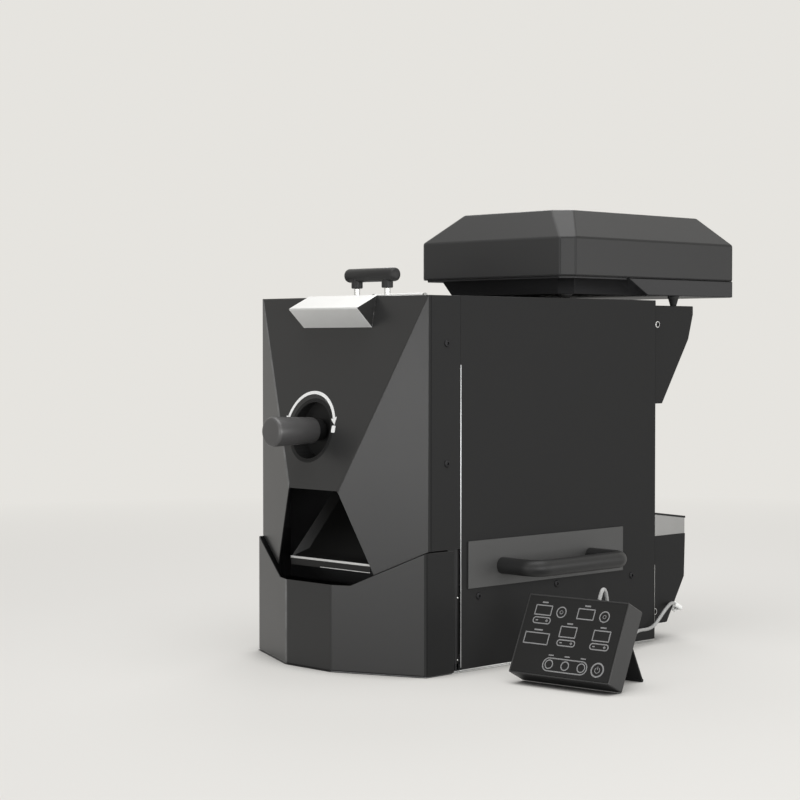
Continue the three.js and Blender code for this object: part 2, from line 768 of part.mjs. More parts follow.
function drumShell() {
  const inner = drumRadius - sheet;
  const shell = turned([
    [drumRadius - drumLip, drumFront], [drumRadius, drumFront], [drumRadius, drumRear],
    [inner, drumRear], [inner, drumFront + sheet], [drumRadius - drumLip, drumFront + sheet],
  ], drumSides);
  const hubEnd = drumRear - drumHubLength;
  const bore = shaftRadius + gap;
  const hub = turned([
    [drumHubRadius, hubEnd], [drumHubRadius, drumRear], [bore, drumRear], [bore, hubEnd],
  ]);
  const parts = [hub];
  for (let i = 0; i < spokeCount; i++) {
    const spoke = boxOf(
      bore + sheet, inner + sheet / 2, drumRear - sheet, drumRear, -spokeWidth / 2, spokeWidth / 2,
    );
    parts.push(spoke.rotateY(i * 2 * Math.PI / spokeCount));
  }
  const rimWidth = spokeWidth;
  const rimOuter = inner + sheet / 2;
  parts.push(turned([
    [inner - rimWidth, drumRear - sheet], [rimOuter, drumRear - sheet], [rimOuter, drumRear],
    [inner - rimWidth, drumRear],
  ], 2 * roundSides));
  for (let i = 0; i < vaneCount; i++) {
    const vane = boxOf(-vaneDepth, sheet / 2, drumFront + sheet / 2, drumRear - sheet / 2, 0, sheet);
    vane.rotateY(vaneLean).translate(inner, 0, 0).rotateY(i * 2 * Math.PI / vaneCount);
    parts.push(vane);
  }
  const frontHub = turned([
    [drumHubRadius, drumFront + bearingLength + sheet], [drumHubRadius, drumFront + 2 * bearingLength],
    [bore, drumFront + 2 * bearingLength], [bore, drumFront + bearingLength + sheet],
  ]);
  parts.push(frontHub);
  for (let i = 0; i < spokeCount / 2; i++) {
    const arm = boxOf(bore + sheet, inner + sheet / 2, drumFront + bearingLength + sheet,
      drumFront + bearingLength + 2 * sheet, -spokeWidth / 4, spokeWidth / 4);
    parts.push(arm.rotateY((i * 4 + 1) * Math.PI / spokeCount));
  }
  return join(shell, ...parts);
}
addPiece(drumAssembly, 'drum', drumShell(), bareSteel);

const shaftFront = frontBulkheadY + sheet / 2;
const shaftRear = gearY + gearFace + sheet;
addPiece(drumAssembly, 'drum_shaft', rod('y', shaftRadius, shaftFront, shaftRear), bareSteel);

// A ring-shaped bearing block on a bulkhead
function bearing(from) {
  const bore = shaftRadius + gap / 4;
  return turned([
    [bearingRadius, from], [bearingRadius, from + bearingLength], [bore, from + bearingLength], [bore, from],
  ]);
}
const frontBearingY = frontBulkheadY + foldClear;
const rearBearingY = rearBulkheadY + foldClear;
addPiece(drumAssembly, 'front_bearing', bearing(frontBearingY), bareSteel);
addPiece(drumAssembly, 'rear_bearing', bearing(rearBearingY), bareSteel);

// Gears: straight teeth with flanks that narrow to the tip

function gear(teeth, bore, y0, y1, phase) {
  const pitch = gearModule * teeth / 2;
  const root = pitch - toothDepth * gearModule;
  const tip = pitch + toothRise * gearModule;
  const flankShares = [[root, toothRootShare], [tip, toothTipShare]];
  const step = 2 * Math.PI / teeth;
  const outline = [];
  for (let i = 0; i < teeth; i++) {
    const at = (radius, turnShare) => {
      const angle = phase + (i + turnShare) * step;
      outline.push([radius * Math.cos(angle), radius * Math.sin(angle)]);
    };
    flankShares.forEach(([radius, share]) => at(radius, -share));
    [...flankShares].reverse().forEach(([radius, share]) => at(radius, share));
  }
  return cut(prism(outline, 'y', y0, y1), rod('y', bore, y0 - overrun, y1 + overrun, 0, 0, smallSides));
}

const drumGear = gear(gearTeeth, shaftRadius + gap, gearY, gearY + gearFace, motorAngle);
addPiece(drumAssembly, 'drum_gear', drumGear, bareSteel);

const gearCentres = gearModule * (gearTeeth + pinionTeeth) / 2 + backlash;
const motorX = gearCentres * Math.cos(motorAngle);
const motorZ = gearCentres * Math.sin(motorAngle);
const motorAssembly = new THREE.Group();
motorAssembly.position.set(motorX, 0, motorZ);
drumAssembly.add(motorAssembly);

const pinionPhase = motorAngle + Math.PI + Math.PI / pinionTeeth;
const pinion = gear(pinionTeeth, motorShaftRadius + gap, gearY, gearY + gearFace, pinionPhase);
addPiece(motorAssembly, 'motor_pinion', pinion, bareSteel);

// Drum motor: a can with a shaft, held on the rear bulkhead by three standoffs

const motorFaceY = gearY + gearFace + 2 * sheet;
const drumMotor = () => {
  const can = rod('y', motorRadius, motorFaceY, motorFaceY + motorLength);
  const boss = rod('y', motorRadius / 2, motorFaceY - sheet, motorFaceY + sheet);
  const shaft = rod('y', motorShaftRadius, gearY, motorFaceY + sheet, 0, 0, smallSides);
  const legs = [-1, 0, 1].map((i) => {
    const angle = motorAngle + i * standoffSpread;
    const reach = motorRadius - standoffRadius - gap;
    const [x, z] = [reach * Math.cos(angle), reach * Math.sin(angle)];
    return rod('y', standoffRadius, rearBulkheadY + foldClear, motorFaceY + sheet, x, z, smallSides / 2);
  });
  return join(can, boss, shaft, ...legs);
};
addPiece(motorAssembly, 'drum_motor', drumMotor(), darkSteel);

// Heater: one hairpin rod under the drum, its ends through the rear bulkhead

const heaterElement = () => {
  const path = new THREE.CurvePath();
  const tail = rearBulkheadY + sheet + heaterTail;
  const end = (x, y) => new THREE.Vector3(x, y, heaterHeight);
  const bend = heaterHalfSpan / 2;
  path.add(new THREE.LineCurve3(end(-heaterHalfSpan, tail), end(-heaterHalfSpan, heaterFront)));
  path.add(new THREE.QuadraticBezierCurve3(
    end(-heaterHalfSpan, heaterFront), end(-heaterHalfSpan, heaterFront - bend),
    end(-heaterHalfSpan + bend, heaterFront - bend),
  ));
  path.add(new THREE.LineCurve3(end(-bend, heaterFront - bend), end(bend, heaterFront - bend)));
  path.add(new THREE.QuadraticBezierCurve3(
    end(bend, heaterFront - bend), end(heaterHalfSpan, heaterFront - bend), end(heaterHalfSpan, heaterFront),
  ));
  path.add(new THREE.LineCurve3(end(heaterHalfSpan, heaterFront), end(heaterHalfSpan, tail)));
  return tube(path, heaterRadius, thinTubeSides, 2 * smallSides);
};

// A tube of round section along a path
function tube(path, radius, sides, steps) {
  const section = new THREE.Shape();
  for (let i = 0; i < sides; i++) {
    const angle = i * 2 * Math.PI / sides;
    const [x, y] = [radius * Math.cos(angle), radius * Math.sin(angle)];
    if (i === 0) section.moveTo(x, y);
    else section.lineTo(x, y);
  }
  section.closePath();
  return new THREE.ExtrudeGeometry(section, { steps, extrudePath: path, bevelEnabled: false });
}
addPiece(machine, 'heater_element', heaterElement(), bareSteel);

// Exhaust fan: a tube between the rear bulkhead and the rear panel, with its motor on struts

const fanAssembly = new THREE.Group();
fanAssembly.position.z = fanHeight;
machine.add(fanAssembly);
const fanFront = rearBulkheadY + foldClear;
const fanRear = rearInner - sheet - gap;
const strutY1 = fanRear - sheet;
const strutY0 = strutY1 - strutWidth;
const fanMotorFront = strutY1 - fanMotorLength;
const exhaustTube = () => {
  const inner = fanTubeRadius - sheet;
  const shell = turned([
    [fanTubeRadius, fanFront], [fanTubeRadius, fanRear], [inner, fanRear], [inner, fanFront],
  ]);
  const seatRadius = fanMotorRadius + gap;
  const seat = turned([
    [seatRadius + sheet, strutY0], [seatRadius + sheet, strutY1],
    [seatRadius, strutY1], [seatRadius, strutY0],
  ]);
  const struts = Array.from({ length: strutCount }, (_, i) => {
    const strut = boxOf(seatRadius + sheet / 2, inner + sheet / 2, strutY0, strutY1, -sheet / 2, sheet / 2);
    return strut.rotateY(i * 2 * Math.PI / strutCount);
  });
  return join(shell, seat, ...struts);
};
addPiece(fanAssembly, 'exhaust_fan_tube', exhaustTube(), darkSteel);
const fanShaftFront = fanMotorFront - fanBladeChord;
addPiece(fanAssembly, 'exhaust_fan_motor', join(
  rod('y', fanMotorRadius, fanMotorFront, strutY1, 0, 0, smallSides),
  rod('y', motorShaftRadius, fanShaftFront, fanMotorFront + sheet, 0, 0, smallSides),
), darkSteel);

// A bladed wheel about the Y axis, with twisted blades round a hub
function bladedWheel(hubRadius, tipRadius, bore, hubFrom, hubTo, blades, chord, twist, thickness) {
  const middle = (hubFrom + hubTo) / 2;
  const hub = cut(
    rod('y', hubRadius, hubFrom, hubTo, 0, 0, roundSides),
    rod('y', bore, hubFrom - overrun, hubTo + overrun, 0, 0, smallSides),
  );
  const parts = Array.from({ length: blades }, (_, i) => {
    const blade = boxOf(
      hubRadius - thickness, tipRadius, -thickness / 2, thickness / 2, -chord / 2, chord / 2,
    );
    return blade.rotateX(twist).translate(0, middle, 0).rotateY(i * 2 * Math.PI / blades);
  });
  return join(hub, ...parts);
}
const wheelFront = fanShaftFront + sheet;
const wheelRear = fanMotorFront - 2 * gap;
addPiece(fanAssembly, 'exhaust_fan_wheel', bladedWheel(
  fanMotorRadius, fanTubeRadius - sheet - fanTipGap, motorShaftRadius + gap, wheelFront, wheelRear,
  fanBladeCount, fanBladeChord, fanBladeTwist, sheet,
), blackPlastic);

// Rear duct: a hood with an open slanted mouth that blows chaff down to the basket

const rearFace = bodyDepth + gap;
const rearDuct = () => {
  const outer = prism([
    [rearFace, ductLow], [ductLowY, ductLow], [ductKneeY, ductKneeZ], [ductRear, ductShoulder],
    [ductRear, ductTop], [rearFace, ductTop],
  ], 'x', -ductHalfWidth, ductHalfWidth);
  const inner = prism([
    [rearFace - overrun, ductLow - overrun], [ductKneeY - sheet, ductLow - overrun],
    [ductKneeY - sheet, ductKneeZ], [ductRear - sheet, ductShoulder], [ductRear - sheet, ductTop - sheet],
    [rearFace - overrun, ductTop - sheet],
  ], 'x', sheet - ductHalfWidth, ductHalfWidth - sheet);
  return cut(outer, inner);
};
addPiece(machine, 'rear_duct', rearDuct(), blackPaint);

// Chaff box with the control cable's socket on its slanted back

const slant = new THREE.Vector2(chaffKneeY - chaffLowY, chaffKneeZ - chaffLow).normalize();
const slantAngle = Math.atan2(slant.x, slant.y); // of the outward normal, below the horizontal
const socketY = chaffLowY + (socketHeight - chaffLow) * slant.x / slant.y;
const onSlant = (geometry) => geometry.rotateX(-slantAngle).translate(socketX, socketY, socketHeight);
const chaffBox = () => {
  const outer = prism([
    [rearFace, chaffLow], [chaffLowY, chaffLow], [chaffKneeY, chaffKneeZ], [chaffRear, chaffTop],
    [rearFace, chaffTop],
  ], 'x', -ductHalfWidth, ductHalfWidth);
  const inner = prism([
    [rearFace + sheet, chaffLow + sheet], [chaffLowY - sheet, chaffLow + sheet],
    [chaffKneeY - sheet, chaffKneeZ], [chaffRear - sheet, chaffTop], [chaffRear - sheet, chaffTop + overrun],
    [rearFace + sheet, chaffTop + overrun],
  ], 'x', sheet - ductHalfWidth, ductHalfWidth - sheet);
  const boss = onSlant(rod('y', socketRadius, -sheet / 2, socketLength, 0, 0, smallSides));
  const bore = onSlant(rod('y', socketBore, 0, socketLength + overrun, 0, 0, smallSides));
  return cut(join(cut(outer, inner), boss), bore);
};
addPiece(machine, 'chaff_box', chaffBox(), blackPaint);

// Chaff basket: stainless, with a collar as wide as the box that rests on the box's rim

const chaffBasket = () => {
  const y0 = rearFace + sheet + basketClearance;
  const y1 = chaffKneeY - sheet - basketClearance;
  const half = ductHalfWidth - sheet - basketClearance;
  const ring = (shrink) => roundRectangle(
    shrink - half, half - shrink, y0 + shrink, y1 - shrink, basketCorner - shrink,
  );
  const seat = chaffTop + gap;
  const outer = prism(ring(0), 'z', basketLow, seat + thinSheet / 2);
  const inner = prism(ring(basketWall), 'z', basketLow + basketWall, basketTop + overrun);
  const collar = (shrink) => roundRectangle(
    collarInset + shrink - ductHalfWidth, ductHalfWidth - collarInset - shrink,
    rearFace + gap + shrink, chaffRear - collarInset - shrink, thinSheet,
  );
  const above = prism([
    [rearFace - overrun, basketTop], [rearFace, basketTop], [chaffRear, basketTopRear],
    [chaffRear + overrun, basketTopRear], [chaffRear + overrun, basketTop + overrun],
    [rearFace - overrun, basketTop + overrun],
  ], 'x', -bodyWidth, bodyWidth);
  return cut(
    join(outer, prism(collar(0), 'z', seat, basketTop)), inner,
    prism(collar(basketWall), 'z', seat + thinSheet, basketTop + overrun), above,
  );
};
addPiece(machine, 'chaff_basket', chaffBasket(), stainless);

// Mains inlet, let into the rear panel

const powerInlet = () => {
  const half = inletWidth / 2;
  const tall = inletTall / 2;
  const y0 = rearInner + gap;
  const flange = boxOf(
    inletX - half, inletX + half, y0, y0 + inletFlange, inletHeight - tall, inletHeight + tall,
  );
  const body = boxOf(
    inletX - half + inletWall, inletX + half - inletWall, y0 - inletDepth, y0 + sheet,
    inletHeight - tall + inletWall, inletHeight + tall - inletWall,
  );
  const recess = boxOf(
    inletX - half + 2 * inletWall, inletX + half - 2 * inletWall, y0 - inletRecess, y0 + overrun,
    inletHeight - tall + 2 * inletWall, inletHeight + tall - 2 * inletWall,
  );
  const pinY1 = y0 - 2 * inletFlange;
  const pins = [-1, 0, 1].map((i) => rod(
    'y', inletPinRadius, y0 - inletRecess - sheet, pinY1,
    inletX + i * inletWidth / 6, inletHeight + (i === 0 ? inletPinRadius : -inletPinRadius), smallSides / 2,
  ));
  return join(cut(join(flange, body), recess), ...pins);
};
addPiece(machine, 'power_inlet', powerInlet(), blackPlastic);

// Power board under the tray shelf: standoffs, a finned heat sink and two capacitors

const powerBoard = () => {
  const z0 = panTop + boardStandoff + gap;
  const z1 = z0 + boardThickness;
  const parts = [];
  for (const x of [boardX0 + boardStandoff, boardX1 - boardStandoff]) {
    for (const y of [boardY0 + boardStandoff, boardY1 - boardStandoff]) {
      parts.push(rod('z', boardStandoffRadius, panTop + gap, z0 + sheet / 2, x, y, smallSides / 2));
    }
  }
  const sinkX = boardX0 + 2 * boardStandoff;
  const sinkY0 = boardY0 + 2 * boardStandoff;
  const sinkY1 = boardY1 - 2 * boardStandoff;
  parts.push(boxOf(sinkX, sinkX + sinkFinCount * sinkPitch, sinkY0, sinkY1, z1 - sheet / 2, z1 + sinkFin));
  for (let i = 0; i < sinkFinCount; i++) {
    const x = sinkX + i * sinkPitch;
    parts.push(boxOf(x, x + sinkFin, sinkY0, sinkY1, z1, z1 + sinkHeight));
  }
  for (const y of [sinkY0 + capRadius, sinkY1 - capRadius]) {
    parts.push(rod('z', capRadius, z1 - sheet / 2, z1 + capHeight, boardX1 - 3 * capRadius, y, smallSides));
  }
  return join(boxOf(boardX0, boardX1, boardY0, boardY1, z0, z1), ...parts);
};
addPiece(machine, 'power_board', powerBoard(), boardGreen);

// Hopper lid: one folded sheet. A flat plate over the mouth, a nose that slopes over the front
// edge and turns back to the cover, and a rear knuckle on the hinge pin.

const lidUnder = bodyHeight + gap;
const lidPlateTop = lidUnder + thinSheet;
const lidHingeY = lidRear + lidKnuckleRadius;
const lidHingeZ = bodyHeight + gap + lidKnuckleRadius;
const hopperLid = () => {
  const profile = [
    [lidRear, lidUnder], [lidRear, lidPlateTop], [0, lidPlateTop], [-lidNoseForward, lidNoseHeight],
    [-lidNoseForward, lidNoseHeight - lidNoseEdge], [frontAt(lidNoseLow) - gap, lidNoseLow],
    [frontAt(facetTop) - gap, facetTop], [frontAt(facetTop) - gap, lidUnder],
  ];
  const wall = thinSheet;
  const hollow = [
    [0, lidUnder], [-lidNoseForward + wall, lidNoseHeight - wall],
    [-lidNoseForward + wall, lidNoseHeight - lidNoseEdge],
    [frontAt(lidNoseLow) - gap, lidNoseLow + 2 * wall],
    [overrun, lidNoseLow + 2 * wall], [overrun, lidUnder],
  ];
  const outer = prism(profile, 'x', -lidHalfWidth, lidHalfWidth);
  const inner = prism(hollow, 'x', wall - lidHalfWidth, lidHalfWidth - wall);
  const knuckleHalf = gripLength / 2;
  const knuckle = rod(
    'x', lidKnuckleRadius - gap, -knuckleHalf, knuckleHalf, lidHingeY, lidHingeZ, smallSides,
  );
  const tab = boxOf(-knuckleHalf, knuckleHalf, lidRear - sheet, lidHingeY, lidUnder, lidPlateTop);
  const pinHole = rod('x', lidPinRadius + gap / 4, -bodyWidth, bodyWidth, lidHingeY, lidHingeZ, smallSides);
  return cut(join(cut(outer, inner), knuckle, tab), pinHole);
};
addPiece(machine, 'hopper_lid', hopperLid(), stainless);

// Hinge bracket on the top panel: two ears and the pin between them
const hopperHinge = () => {
  const earInner = gripLength / 2 + gap;
  const earOuter = earInner + 2 * sheet;
  const ears = [-1, 1].map((sign) => {
    const [x0, x1] = across(sign, earInner, earOuter);
    return join(
      boxOf(
        x0, x1, lidHingeY - lidKnuckleRadius, lidHingeY + lidKnuckleRadius, bodyHeight + gap, lidHingeZ,
      ),
      rod('x', lidKnuckleRadius, x0, x1, lidHingeY, lidHingeZ, smallSides),
    );
  });
  const pin = rod('x', lidPinRadius, -earInner - sheet, earInner + sheet, lidHingeY, lidHingeZ, smallSides);
  return join(pin, ...ears);
};
addPiece(machine, 'hopper_hinge', hopperHinge(), bareSteel);

// Lid grip: a round bar with two short posts, on two studs that stand on the lid

const gripPostLow = gripHeight - gripPostDrop;
const lidGrip = () => {
  const half = gripLength / 2;
  const profile = [
    [0, -half], [gripRadius - 2 * sheet, -half], [gripRadius, -half + 2 * sheet],
    [gripRadius, half - 2 * sheet], [gripRadius - 2 * sheet, half], [0, half],
  ];
  const points = profile.map(([radius, y]) => new THREE.Vector2(radius, y));
  const bar = new THREE.LatheGeometry(points, smallSides);
  bar.rotateZ(-Math.PI / 2).translate(0, gripY, gripHeight);
  const posts = [-1, 1].map((sign) =>
    rod('z', gripPostRadius, gripPostLow, gripHeight, sign * gripPostSpacing / 2, gripY, smallSides));
  return join(bar, ...posts);
};
addPiece(machine, 'lid_grip', lidGrip(), gripPlastic);
for (const [side, sign] of [['left', -1], ['right', 1]]) {
  const x = sign * gripPostSpacing / 2;
  const stud = rod('z', studRadius, lidPlateTop + gap, gripPostLow - gap, x, gripY, smallSides);
  addPiece(machine, `lid_stud_${side}`, stud, stainless);
}

// Discharge handle, in a round recess of the front cover, on a shaft that turns the shutter

const knobAssembly = new THREE.Group();
knobAssembly.position.set(knobX, 0, knobHeight);
machine.add(knobAssembly);

const sleeveEnd = frontBulkheadY - shutterClear - shutterSheet - gap;
const knobRecess = () => {
  const back = -recessBack;
  const cup = turned([
    [recessRadius, -waistForward], [recessRadius, back], [recessRadius - recessWall, back],
    [recessRadius - recessWall, -waistForward],
  ]);
  const bore = knobShaftRadius + runningGap;
  const floor = turned([
    [recessRadius - recessWall / 2, back - recessWall], [recessRadius - recessWall / 2, back], [bore, back],
    [bore, back - recessWall],
  ]);
  const sleeve = turned([
    [sleeveRadius, back - recessWall], [sleeveRadius, sleeveEnd],
    [bore, sleeveEnd], [bore, back - recessWall],
  ]);
  const relative = (height) => height - knobHeight;
  const inFront = prism([
    [frontAt(waistHeight) - gap, relative(waistHeight)], [frontAt(facetTop) - gap, relative(facetTop)],
    [-waistForward - overrun, relative(facetTop)], [-waistForward - overrun, relative(waistHeight)],
  ], 'x', -bodyWidth, bodyWidth);
  return cut(join(cup, floor, sleeve), inFront);
};
addPiece(knobAssembly, 'knob_recess', knobRecess(), blackPlastic);

const knobRear = -recessBack - recessWall - knobBackClear;
const knobBoreEnd = knobRear - (knobLength + collarLength) / 2;
const dischargeKnob = () => {
  const back = knobRear - collarLength;
  const front = back - knobLength;
  const profile = [
    [0, front], [knobRadius - knobBevel, front], [knobRadius, front + knobBevel], [knobBackRadius, back],
    [collarRadius, back], [collarRadius, knobRear], [0, knobRear],
  ];
  const points = profile.map(([radius, y]) => new THREE.Vector2(radius, y));
  const bore = rod('y', knobShaftRadius + gap, knobBoreEnd, knobRear + overrun, 0, 0, smallSides);
  return cut(new THREE.LatheGeometry(points, roundSides), bore);
};
addPiece(knobAssembly, 'discharge_knob', dischargeKnob(), gripPlastic);
const knobShaftEnd = frontBulkheadY - 2 * gap;
addPiece(knobAssembly, 'knob_shaft', rod(
  'y', knobShaftRadius, knobBoreEnd + gap, knobShaftEnd, 0, 0, smallSides,
), bareSteel);

const dischargeShutter = () => {
  const y0 = sleeveEnd + gap;
  const y1 = y0 + shutterSheet;
  const outline = [[0, 0]];
  const steps = smallSides / 2;
  for (let i = 0; i <= steps; i++) {
    const angle = -Math.PI / 2 + shutterHalfAngle * (2 * i / steps - 1);
    outline.push([shutterRadius * Math.cos(angle), shutterRadius * Math.sin(angle)]);
  }
  const blade = prism(outline, 'y', y0, y1);
  const hub = rod('y', shutterHub, y0, y1, 0, 0, smallSides);
  const bore = rod('y', knobShaftRadius + gap, y0 - overrun, y1 + overrun, 0, 0, smallSides);
  return cut(join(blade, hub), bore);
};
addPiece(knobAssembly, 'discharge_shutter', dischargeShutter(), bareSteel);

// Discharge chute: a widening channel from the port down to a folded lip over the bean bin

const dischargeChute = () => {
  const rear = sleeveEnd - gap;
  const tabRear = frontBulkheadY - gap;
  const sideAt = (sign, y) => {
    const backShare = (y + chuteLipY) / (rear + chuteLipY);
    const rearX = knobX + sign * (portHalfWidth + sheet);
    return sign * chuteHalfWidth + (rearX - sign * chuteHalfWidth) * backShare;
  };
  const plan = (wall, extra) => {
    const [y0, y1] = [-chuteLipY - extra, rear + extra];
    return [
      [sideAt(-1, y0) + wall, y0], [sideAt(1, y0) - wall, y0], [sideAt(1, y1) - wall, y1],
      [sideAt(-1, y1) + wall, y1],
    ];
  };
  const floorLine = [[rear, chuteStart], [chuteElbowY, chuteElbowZ], [-chuteLipY, chuteLipZ]];
  // The cheeks run out to nothing at the lip
  const cheekLine = [
    [-chuteLipY, chuteLipZ + thinSheet], [chuteElbowY, chuteElbowZ + chuteCheek],
    [rear, chuteStart + chuteCheek],
  ];
  const low = chuteLipZ - overrun;
  const high = portHigh + overrun;
  const walls = common(
    prism(plan(0, 0), 'z', low, high),
    prism([...floorLine, ...cheekLine], 'x', -bodyWidth, bodyWidth),
  );
  const room = common(
    prism(plan(sheet, overrun), 'z', low, high + overrun),
    prism([
      [rear + overrun, chuteStart + thinSheet], ...floorLine.map(([y, z]) => [y, z + thinSheet]),
      [-chuteLipY - overrun, chuteLipZ + thinSheet], [-chuteLipY - overrun, high], [rear + overrun, high],
    ], 'x', -bodyWidth, bodyWidth),
  );
  const lip = boxOf(
    -chuteHalfWidth, chuteHalfWidth, -chuteLipY, thinSheet - chuteLipY,
    chuteLipZ - chuteLipDrop, chuteLipZ + thinSheet / 2,
  );
  const tab = boxOf(
    knobX - portHalfWidth, knobX + portHalfWidth, tabRear - thinSheet, tabRear,
    chuteStart - chuteTabDrop - shutterClear, chuteStart - shutterClear,
  );
  const bridge = prism([
    [rear - shutterClear, chuteStart - shutterClear],
    [rear - shutterClear, chuteStart - 2 * shutterClear - thinSheet],
    [tabRear, chuteStart - 2 * shutterClear - thinSheet], [tabRear, chuteStart - shutterClear - thinSheet],
  ], 'x', knobX - portHalfWidth, knobX + portHalfWidth);
  return join(cut(walls, room), lip, tab, bridge);
};
addPiece(machine, 'discharge_chute', dischargeChute(), stainless);

// Bean bin: a half-hexagon front with a dipped rim, and a stainless pan inside it

const binOutline = [
  [binCentreHalfWidth, -binForward], [halfWidth, -binCornerForward], [halfWidth, binBack],
];
const binFront = () => {
  const outline = mirrorX(binOutline);
  const inside = inset(outline, sheet).map(
    ([x, y], i) => [x, outline[i][1] === binBack ? binBack + overrun : y],
  );
  const outer = prism(outline, 'z', binLow, binCornerRim);
  const inner = prism(inside, 'z', binLow - overrun, binCornerRim + overrun);
  const dip = prism([
    [binRimHalfWidth, binRim], [halfWidth, binCornerRim], [halfWidth, binCornerRim + overrun],
    [-halfWidth, binCornerRim + overrun], [-halfWidth, binCornerRim], [-binRimHalfWidth, binRim],
  ], 'y', -binForward - overrun, 0);
  return cut(outer, inner, dip);
};
addPiece(machine, 'bean_bin_front', binFront(), frontPaint);

const binPan = () => {
  const wallOutline = inset(mirrorX(binOutline), sheet + gap);
  const back = binBack - binPanBackInset;
  const outline = wallOutline.map(([x, y]) => [x, Math.min(y, back)]);
  const floor = panTop + gap;
  const outer = prism(outline, 'z', floor, binPanTop);
  return cut(outer, prism(inset(outline, thinSheet), 'z', floor + thinSheet, binPanTop + overrun));
};
addPiece(machine, 'bean_bin_pan', binPan(), stainless);

// Side tray: a pan on the shelf, a lapping front and a bent tube handle

const trayPan = () => {
  const y0 = holeY0 + trayPanInset;
  const y1 = holeY1 - trayPanInset;
  const x0 = halfWidth - trayDepth;
  const outer = prism(roundRectangle(x0, halfWidth, y0, y1, trayCorner), 'z', trayPanLow, trayPanTop);
  const inner = roundRectangle(
    x0 + thinSheet, halfWidth - thinSheet, y0 + thinSheet, y1 - thinSheet, trayCorner - thinSheet,
  );
  return cut(outer, prism(inner, 'z', trayPanLow + thinSheet, trayPanTop + overrun));
};
addPiece(machine, 'side_tray_pan', trayPan(), stainless);

const trayFrontX = halfWidth + gap;
const trayFaceX = trayFrontX + trayFrontThickness;
addPiece(machine, 'side_tray_front', boxOf(
  trayFrontX, trayFaceX, trayFrontY0, trayFrontY1, trayFrontZ0, trayFrontZ1,
), hoodPaint);

const trayHandle = () => {
  const at = (x, y) => new THREE.Vector3(x, y, handleHeight);
  const root = trayFaceX + gap;
  const bar = trayFaceX + handleReach;
  const path = new THREE.CurvePath();
  const bend0 = bar - handleBend;
  const [side0, side1] = [handleY0 + handleBend, handleY1 - handleBend];
  path.add(new THREE.LineCurve3(at(root, handleY0), at(bend0, handleY0)));
  path.add(new THREE.QuadraticBezierCurve3(at(bend0, handleY0), at(bar, handleY0), at(bar, side0)));
  path.add(new THREE.LineCurve3(at(bar, side0), at(bar, side1)));
  path.add(new THREE.QuadraticBezierCurve3(at(bar, side1), at(bar, handleY1), at(bend0, handleY1)));
  path.add(new THREE.LineCurve3(at(bend0, handleY1), at(root, handleY1)));
  return tube(path, handleRadius, tubeSides, handleSteps);
};
addPiece(machine, 'side_tray_handle', trayHandle(), gripPlastic);

// Cooling unit: a folded tub with a deeper box behind, a perforated screen and a flat fan

const coolerHalf = coolerWidth / 2;
const tubShell = (wall) => {
  const ring = (insetBy) => cutRectangle(
    coolerHalf - insetBy - wall, coolerFront + insetBy + wall, (rearBoxLowY + coolerRear) / 2, coolerCorner,
  );
  const low = wall > 0 ? tubLow + wall : tubLow;
  const high = wall > 0 ? tubTop + overrun : tubTop;
  const highInset = wall > 0
    ? tubTopInset - overrun * (tubLowInset - tubTopInset) / (tubTop - tubLow) : tubTopInset;
  const lowInset = wall > 0
    ? tubLowInset - wall * (tubLowInset - tubTopInset) / (tubTop - tubLow) : tubLowInset;
  return loft([ring(lowInset), ring(highInset)], [low, high]);
};
const boxShell = (wall) => {
  const plan = cutRectangle(coolerHalf - wall, coolerFront, coolerRear - wall, coolerCorner);
  const lift = wall > 0 ? overrun : 0;
  const lean = (rearBoxLowY - rearBoxTopY) / (tubTop - tubLow);
  const high = rearBoxTop + lift;
  const side = prism([
    [rearBoxLowY + wall, tubLow + wall], [coolerRear + overrun, tubLow + wall],
    [coolerRear + overrun, high], [rearBoxTopY + wall - (high - tubTop) * lean, high],
  ], 'x', -coolerWidth, coolerWidth);
  return common(prism(plan, 'z', tubLow - overrun, tubTop + 2 * overrun), side);
};
const lidAxisY = coolerRear + lidAxisOut;
const lidAxisZ = skirtLow - lidAxisDrop;
// Hinge barrels: the middle one on the lid, the two outer ones and the pin on the tub
const hingeCentres = [hingeInset - coolerHalf, coolerHalf - hingeInset];
const hingeThird = hingeLength / 3;
const barrel = (x0, x1) => rod('x', barrelRadius, x0, x1, lidAxisY, lidAxisZ, smallSides);
const coolerTub = () => {
  const rimTop = skirtLow - gap;
  const rim = prism(
    cutRectangle(coolerHalf - rimInset, coolerFront + rimInset, coolerRear - rimInset, coolerCorner),
    'z', tubTop - sheet / 2, rimTop,
  );
  const floorVents = Array.from({ length: coolerVentCount }, (_, i) => {
    const vent = boxOf(
      coolerHubRadius + coolerVentWidth / 2, coolerFanRadius - coolerVentWidth / 2,
      -coolerVentWidth / 2, coolerVentWidth / 2, tubLow - overrun, tubLow + overrun / 3,
    );
    return vent.rotateZ(i * 2 * Math.PI / coolerVentCount).translate(0, coolerFanY, 0);
  });
  const shell = cut(join(tubShell(0), boxShell(0), rim), tubShell(sheet), boxShell(sheet), ...floorVents);
  const outerBarrels = hingeCentres.flatMap((centre) => [-1, 1].map((sign) => {
    const x0 = centre + sign * hingeThird - hingeThird / 2 + (sign > 0 ? gap : 0);
    const x1 = centre + sign * hingeThird + hingeThird / 2 - (sign > 0 ? 0 : gap);
    const leaf = boxOf(
      x0, x1, coolerRear - sheet, lidAxisY, lidAxisZ - barrelRadius, lidAxisZ - barrelRadius + sheet,
    );
    return join(barrel(x0, x1), leaf);
  }));
  const pins = hingeCentres.map((centre) => rod(
    'x', hingePinRadius, centre - hingeLength / 2 + gap, centre + hingeLength / 2 - gap,
    lidAxisY, lidAxisZ, smallSides,
  ));
  return join(shell, ...outerBarrels, ...pins);
};
addPiece(machine, 'cooler_tub', coolerTub(), hoodPaint);

